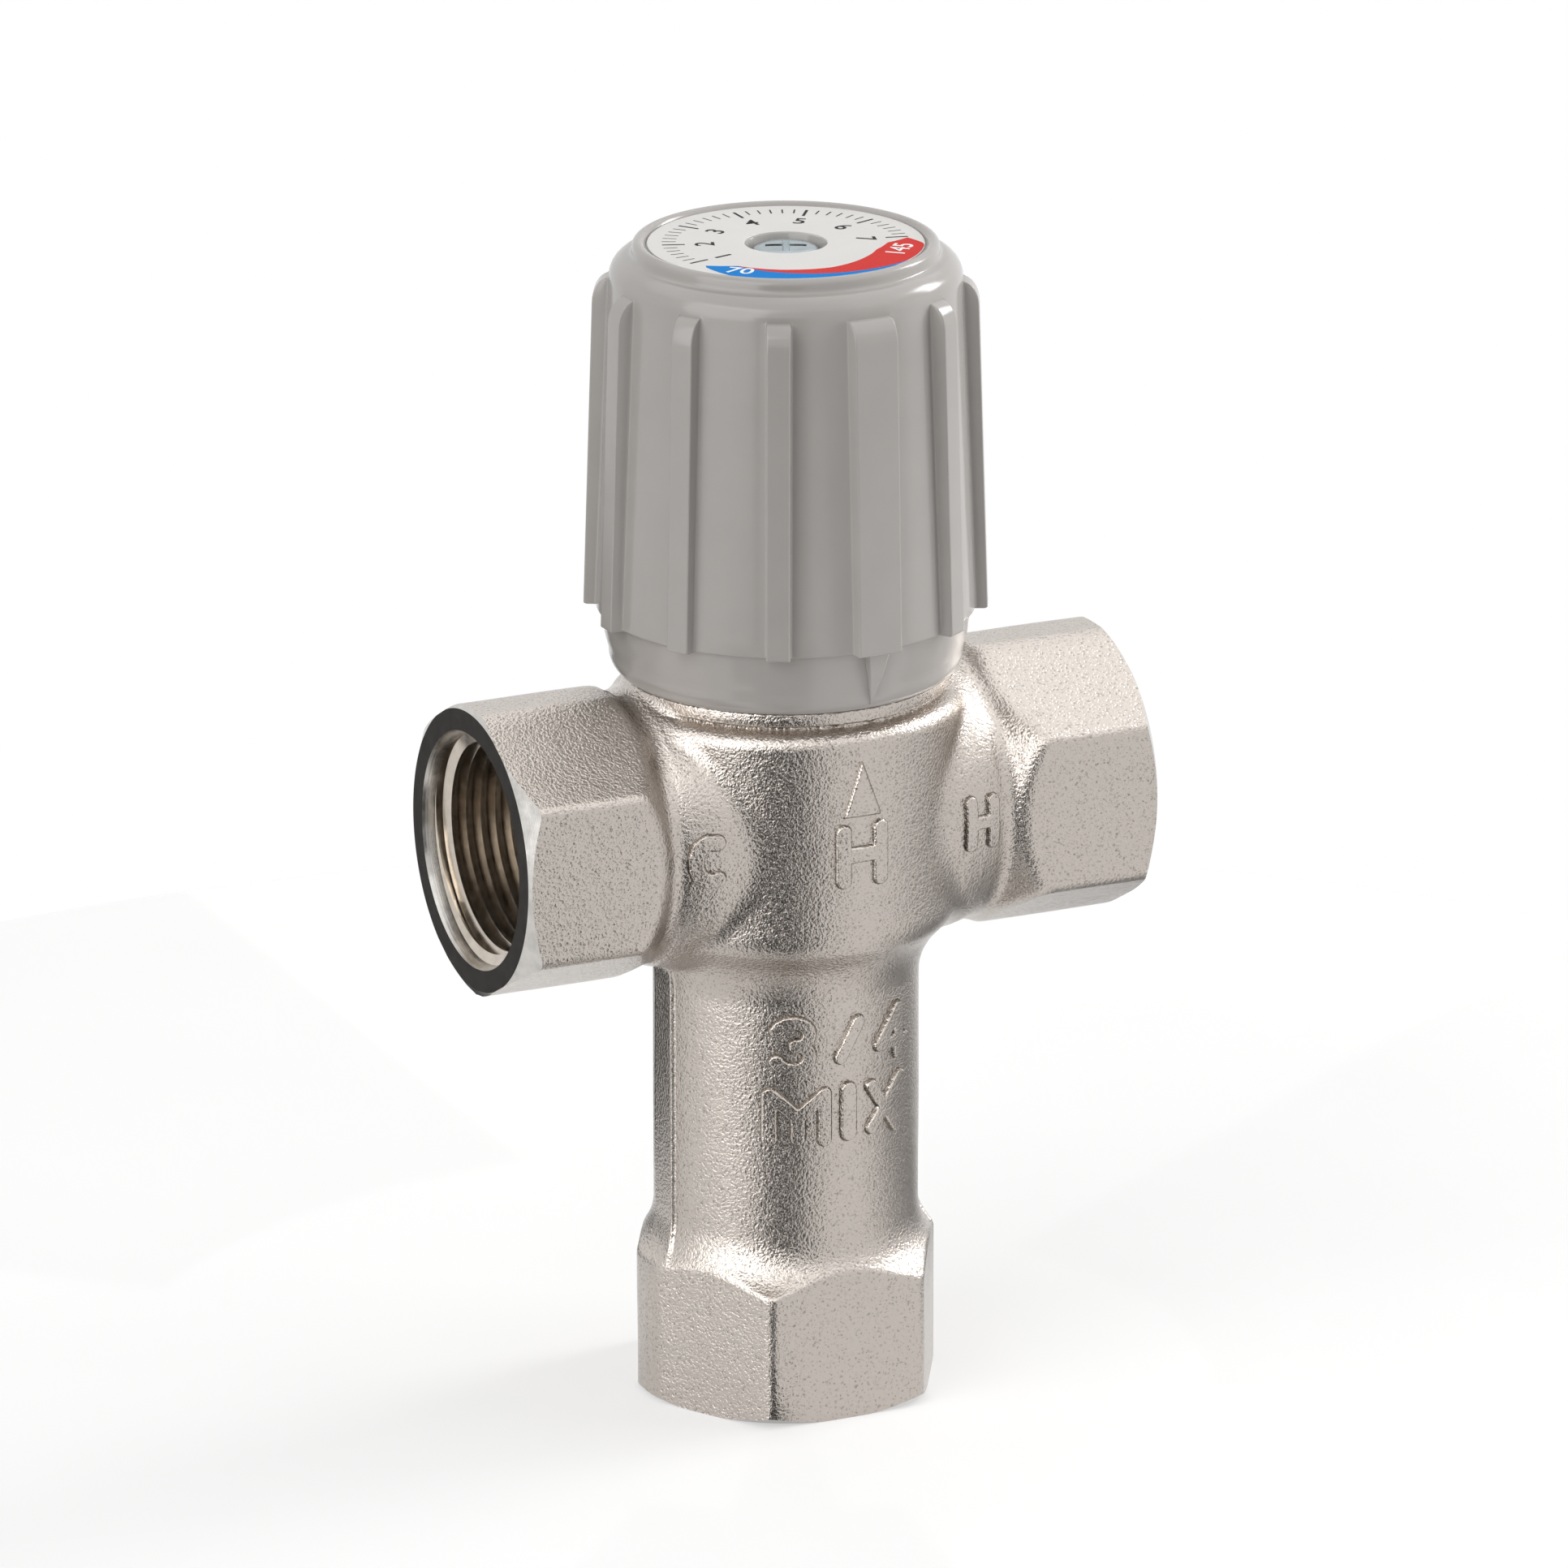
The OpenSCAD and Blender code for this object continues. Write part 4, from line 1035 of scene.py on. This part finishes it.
CAD_LOOKS = {
    "bonnet": INNER_BRASS,
    "bonnet_o_ring": SEAL,
    "spindle": INNER_BRASS,
    "spindle_o_ring_upper": SEAL,
    "spindle_o_ring_lower": SEAL,
    "spindle_retaining_ring": SPRING_STEEL,
    "thrust_washer": SLIDE_PLASTIC,
    "setting_nut": INNER_BRASS,
    "nut_snap_ring": SPRING_STEEL,
    "overtravel_piston": INNER_BRASS,
    "overtravel_spring": SPRING_STEEL,
    "element_pin": SPRING_STEEL,
    "wax_element": COPPER,
    "shuttle": SLIDE_PLASTIC,
    "shuttle_o_ring": SEAL,
}
for name, material in CAD_LOOKS.items():
    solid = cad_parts[name]
    solid.data.materials.clear()
    solid.data.materials.append(material)


# Floor, light and camera


def seen_directly(shader):
    """1 for what the camera sees, straight, mirrored or through glass, and 0 for light on a surface."""
    path = shader.nodes.new("ShaderNodeLightPath")
    seen = shader.math("MAXIMUM", path.outputs["Is Camera Ray"], path.outputs["Is Glossy Ray"])
    return shader.math("MAXIMUM", seen, path.outputs["Is Transmission Ray"])


def build_floor():
    s = Shader("floor_paper")
    tone = s.ramp(s.noise(40.0, 3.0), [(0.3, (0.93, 0.93, 0.93)), (0.7, (0.95, 0.95, 0.95))])
    s.set(Base_Color=tone, Roughness=0.8, Normal=s.bump(s.noise(0.5), 0.01, 0.3))
    white = s.add("ShaderNodeEmission", Strength=1.0)
    mix = s.add("ShaderNodeMixShader")
    s.link(s.math("MULTIPLY", seen_directly(s), 0.42), mix.inputs[0])
    s.link(s.bsdf.outputs[0], mix.inputs[1])
    s.link(white.outputs[0], mix.inputs[2])
    s.link(mix.outputs[0], s.nodes["Material Output"].inputs["Surface"])
    points, faces = revolve([(0.0, 0.0), (195.0, 0.0)], 96, False)
    make_object("floor", points, faces, [s.material], False)


def build_card(name, middle, spread, near, far, rise=0.3, tone=0.02):
    """Dark card, flat on the floor or standing, that shows only as a reflection."""
    s = Shader(name)
    s.set(Base_Color=s.ramp(s.noise(20.0), [(0.3, (tone,) * 3), (0.7, (tone * 1.3,) * 3)]), Roughness=0.9)
    points = []
    for angle in np.radians(np.linspace(middle - spread, middle + spread, 13)):
        for r, z in ((near, 0.3), (far, rise)):
            points.append((r * math.cos(angle), r * math.sin(angle), z))
    faces = [(2 * i, 2 * i + 1, 2 * i + 3, 2 * i + 2) for i in range(12)]
    card = make_object(name, points, faces, [s.material], False)
    card.visible_camera = False
    card.visible_diffuse = False
    card.visible_shadow = False


def build_world():
    world = bpy.data.worlds.new("studio")
    bpy.context.scene.world = world
    world.use_nodes = True
    nodes = world.node_tree.nodes
    links = world.node_tree.links
    path = nodes.new("ShaderNodeLightPath")
    last = path.outputs["Is Camera Ray"]
    for ray in ("Is Glossy Ray", "Is Transmission Ray"):
        larger = nodes.new("ShaderNodeMath")
        larger.operation = "MAXIMUM"
        links.new(last, larger.inputs[0])
        links.new(path.outputs[ray], larger.inputs[1])
        last = larger.outputs[0]
    room = nodes["Background"]
    room.inputs["Color"].default_value = (1.0, 0.98, 0.96, 1.0)
    room.inputs["Strength"].default_value = 0.25
    white = nodes.new("ShaderNodeBackground")
    white.inputs["Color"].default_value = (1.0, 1.0, 1.0, 1.0)
    white.inputs["Strength"].default_value = 1.0
    mix = nodes.new("ShaderNodeMixShader")
    links.new(last, mix.inputs[0])
    links.new(room.outputs[0], mix.inputs[1])
    links.new(white.outputs[0], mix.inputs[2])
    links.new(mix.outputs[0], nodes["World Output"].inputs["Surface"])


def soft_box(name, place, aim, size, power):
    light = bpy.data.lights.new(name, "AREA")
    light.shape = "RECTANGLE"
    light.size = size[0]
    light.size_y = size[1]
    light.energy = power
    lamp = bpy.data.objects.new(name, light)
    lamp.location = place
    lamp.rotation_mode = "QUATERNION"
    lamp.rotation_quaternion = (Vector(aim) - Vector(place)).to_track_quat("-Z", "Y")
    bpy.context.scene.collection.objects.link(lamp)
    return lamp


build_floor()
build_card("card_front", -117.0, 19.0, 45.0, 420.0)
build_card("card_front_left", -143.0, 7.0, 120.0, 420.0)
build_card("card_foot", -115.0, 8.0, 20.0, 45.0)
build_card("card_right", 0.0, 32.0, 50.0, 240.0, 0.3, 0.25)
build_card("card_back", 112.0, 23.0, 80.0, 420.0)
build_card("card_standing", -118.0, 16.0, 421.0, 422.0, 190.0)
build_world()
soft_box("box_left", (-1.05, -0.45, 0.55), (0, 0, 0.07), (1.2, 1.4), 11.0)
soft_box("box_right", (1.15, 0.1, 0.75), (0, 0, 0.07), (0.4, 0.5), 6.5)
fill = soft_box("box_fill", (1.05, -0.45, 0.16), (0, 0, 0.1), (0.7, 0.7), 9.5)
fill.visible_glossy = False
soft_box("box_top", (0.1, 0.0, 1.35), (0, 0, 0.05), (3.2, 3.2), 18.0)

camera_data = bpy.data.cameras.new("camera")
camera_data.sensor_width = SENSOR_MM
camera_data.lens = FOCAL_PX / PHOTO_PX * SENSOR_MM
camera_data.shift_x = SHIFT_PX[0] / PHOTO_PX
camera_data.shift_y = SHIFT_PX[1] / PHOTO_PX
camera_data.clip_start = 0.05
camera_data.clip_end = 20.0
camera = bpy.data.objects.new("camera", camera_data)
level = math.cos(CAMERA_ELEVATION)
back = Vector((
    math.sin(CAMERA_AZIMUTH) * level,
    -math.cos(CAMERA_AZIMUTH) * level,
    math.sin(CAMERA_ELEVATION),
))
camera.location = CAMERA_AIM + back * CAMERA_DISTANCE
camera.rotation_mode = "QUATERNION"
camera.rotation_quaternion = (-back).to_track_quat("-Z", "Y")
bpy.context.scene.collection.objects.link(camera)
bpy.context.scene.camera = camera
bpy.context.scene.view_settings.view_transform = "Standard"
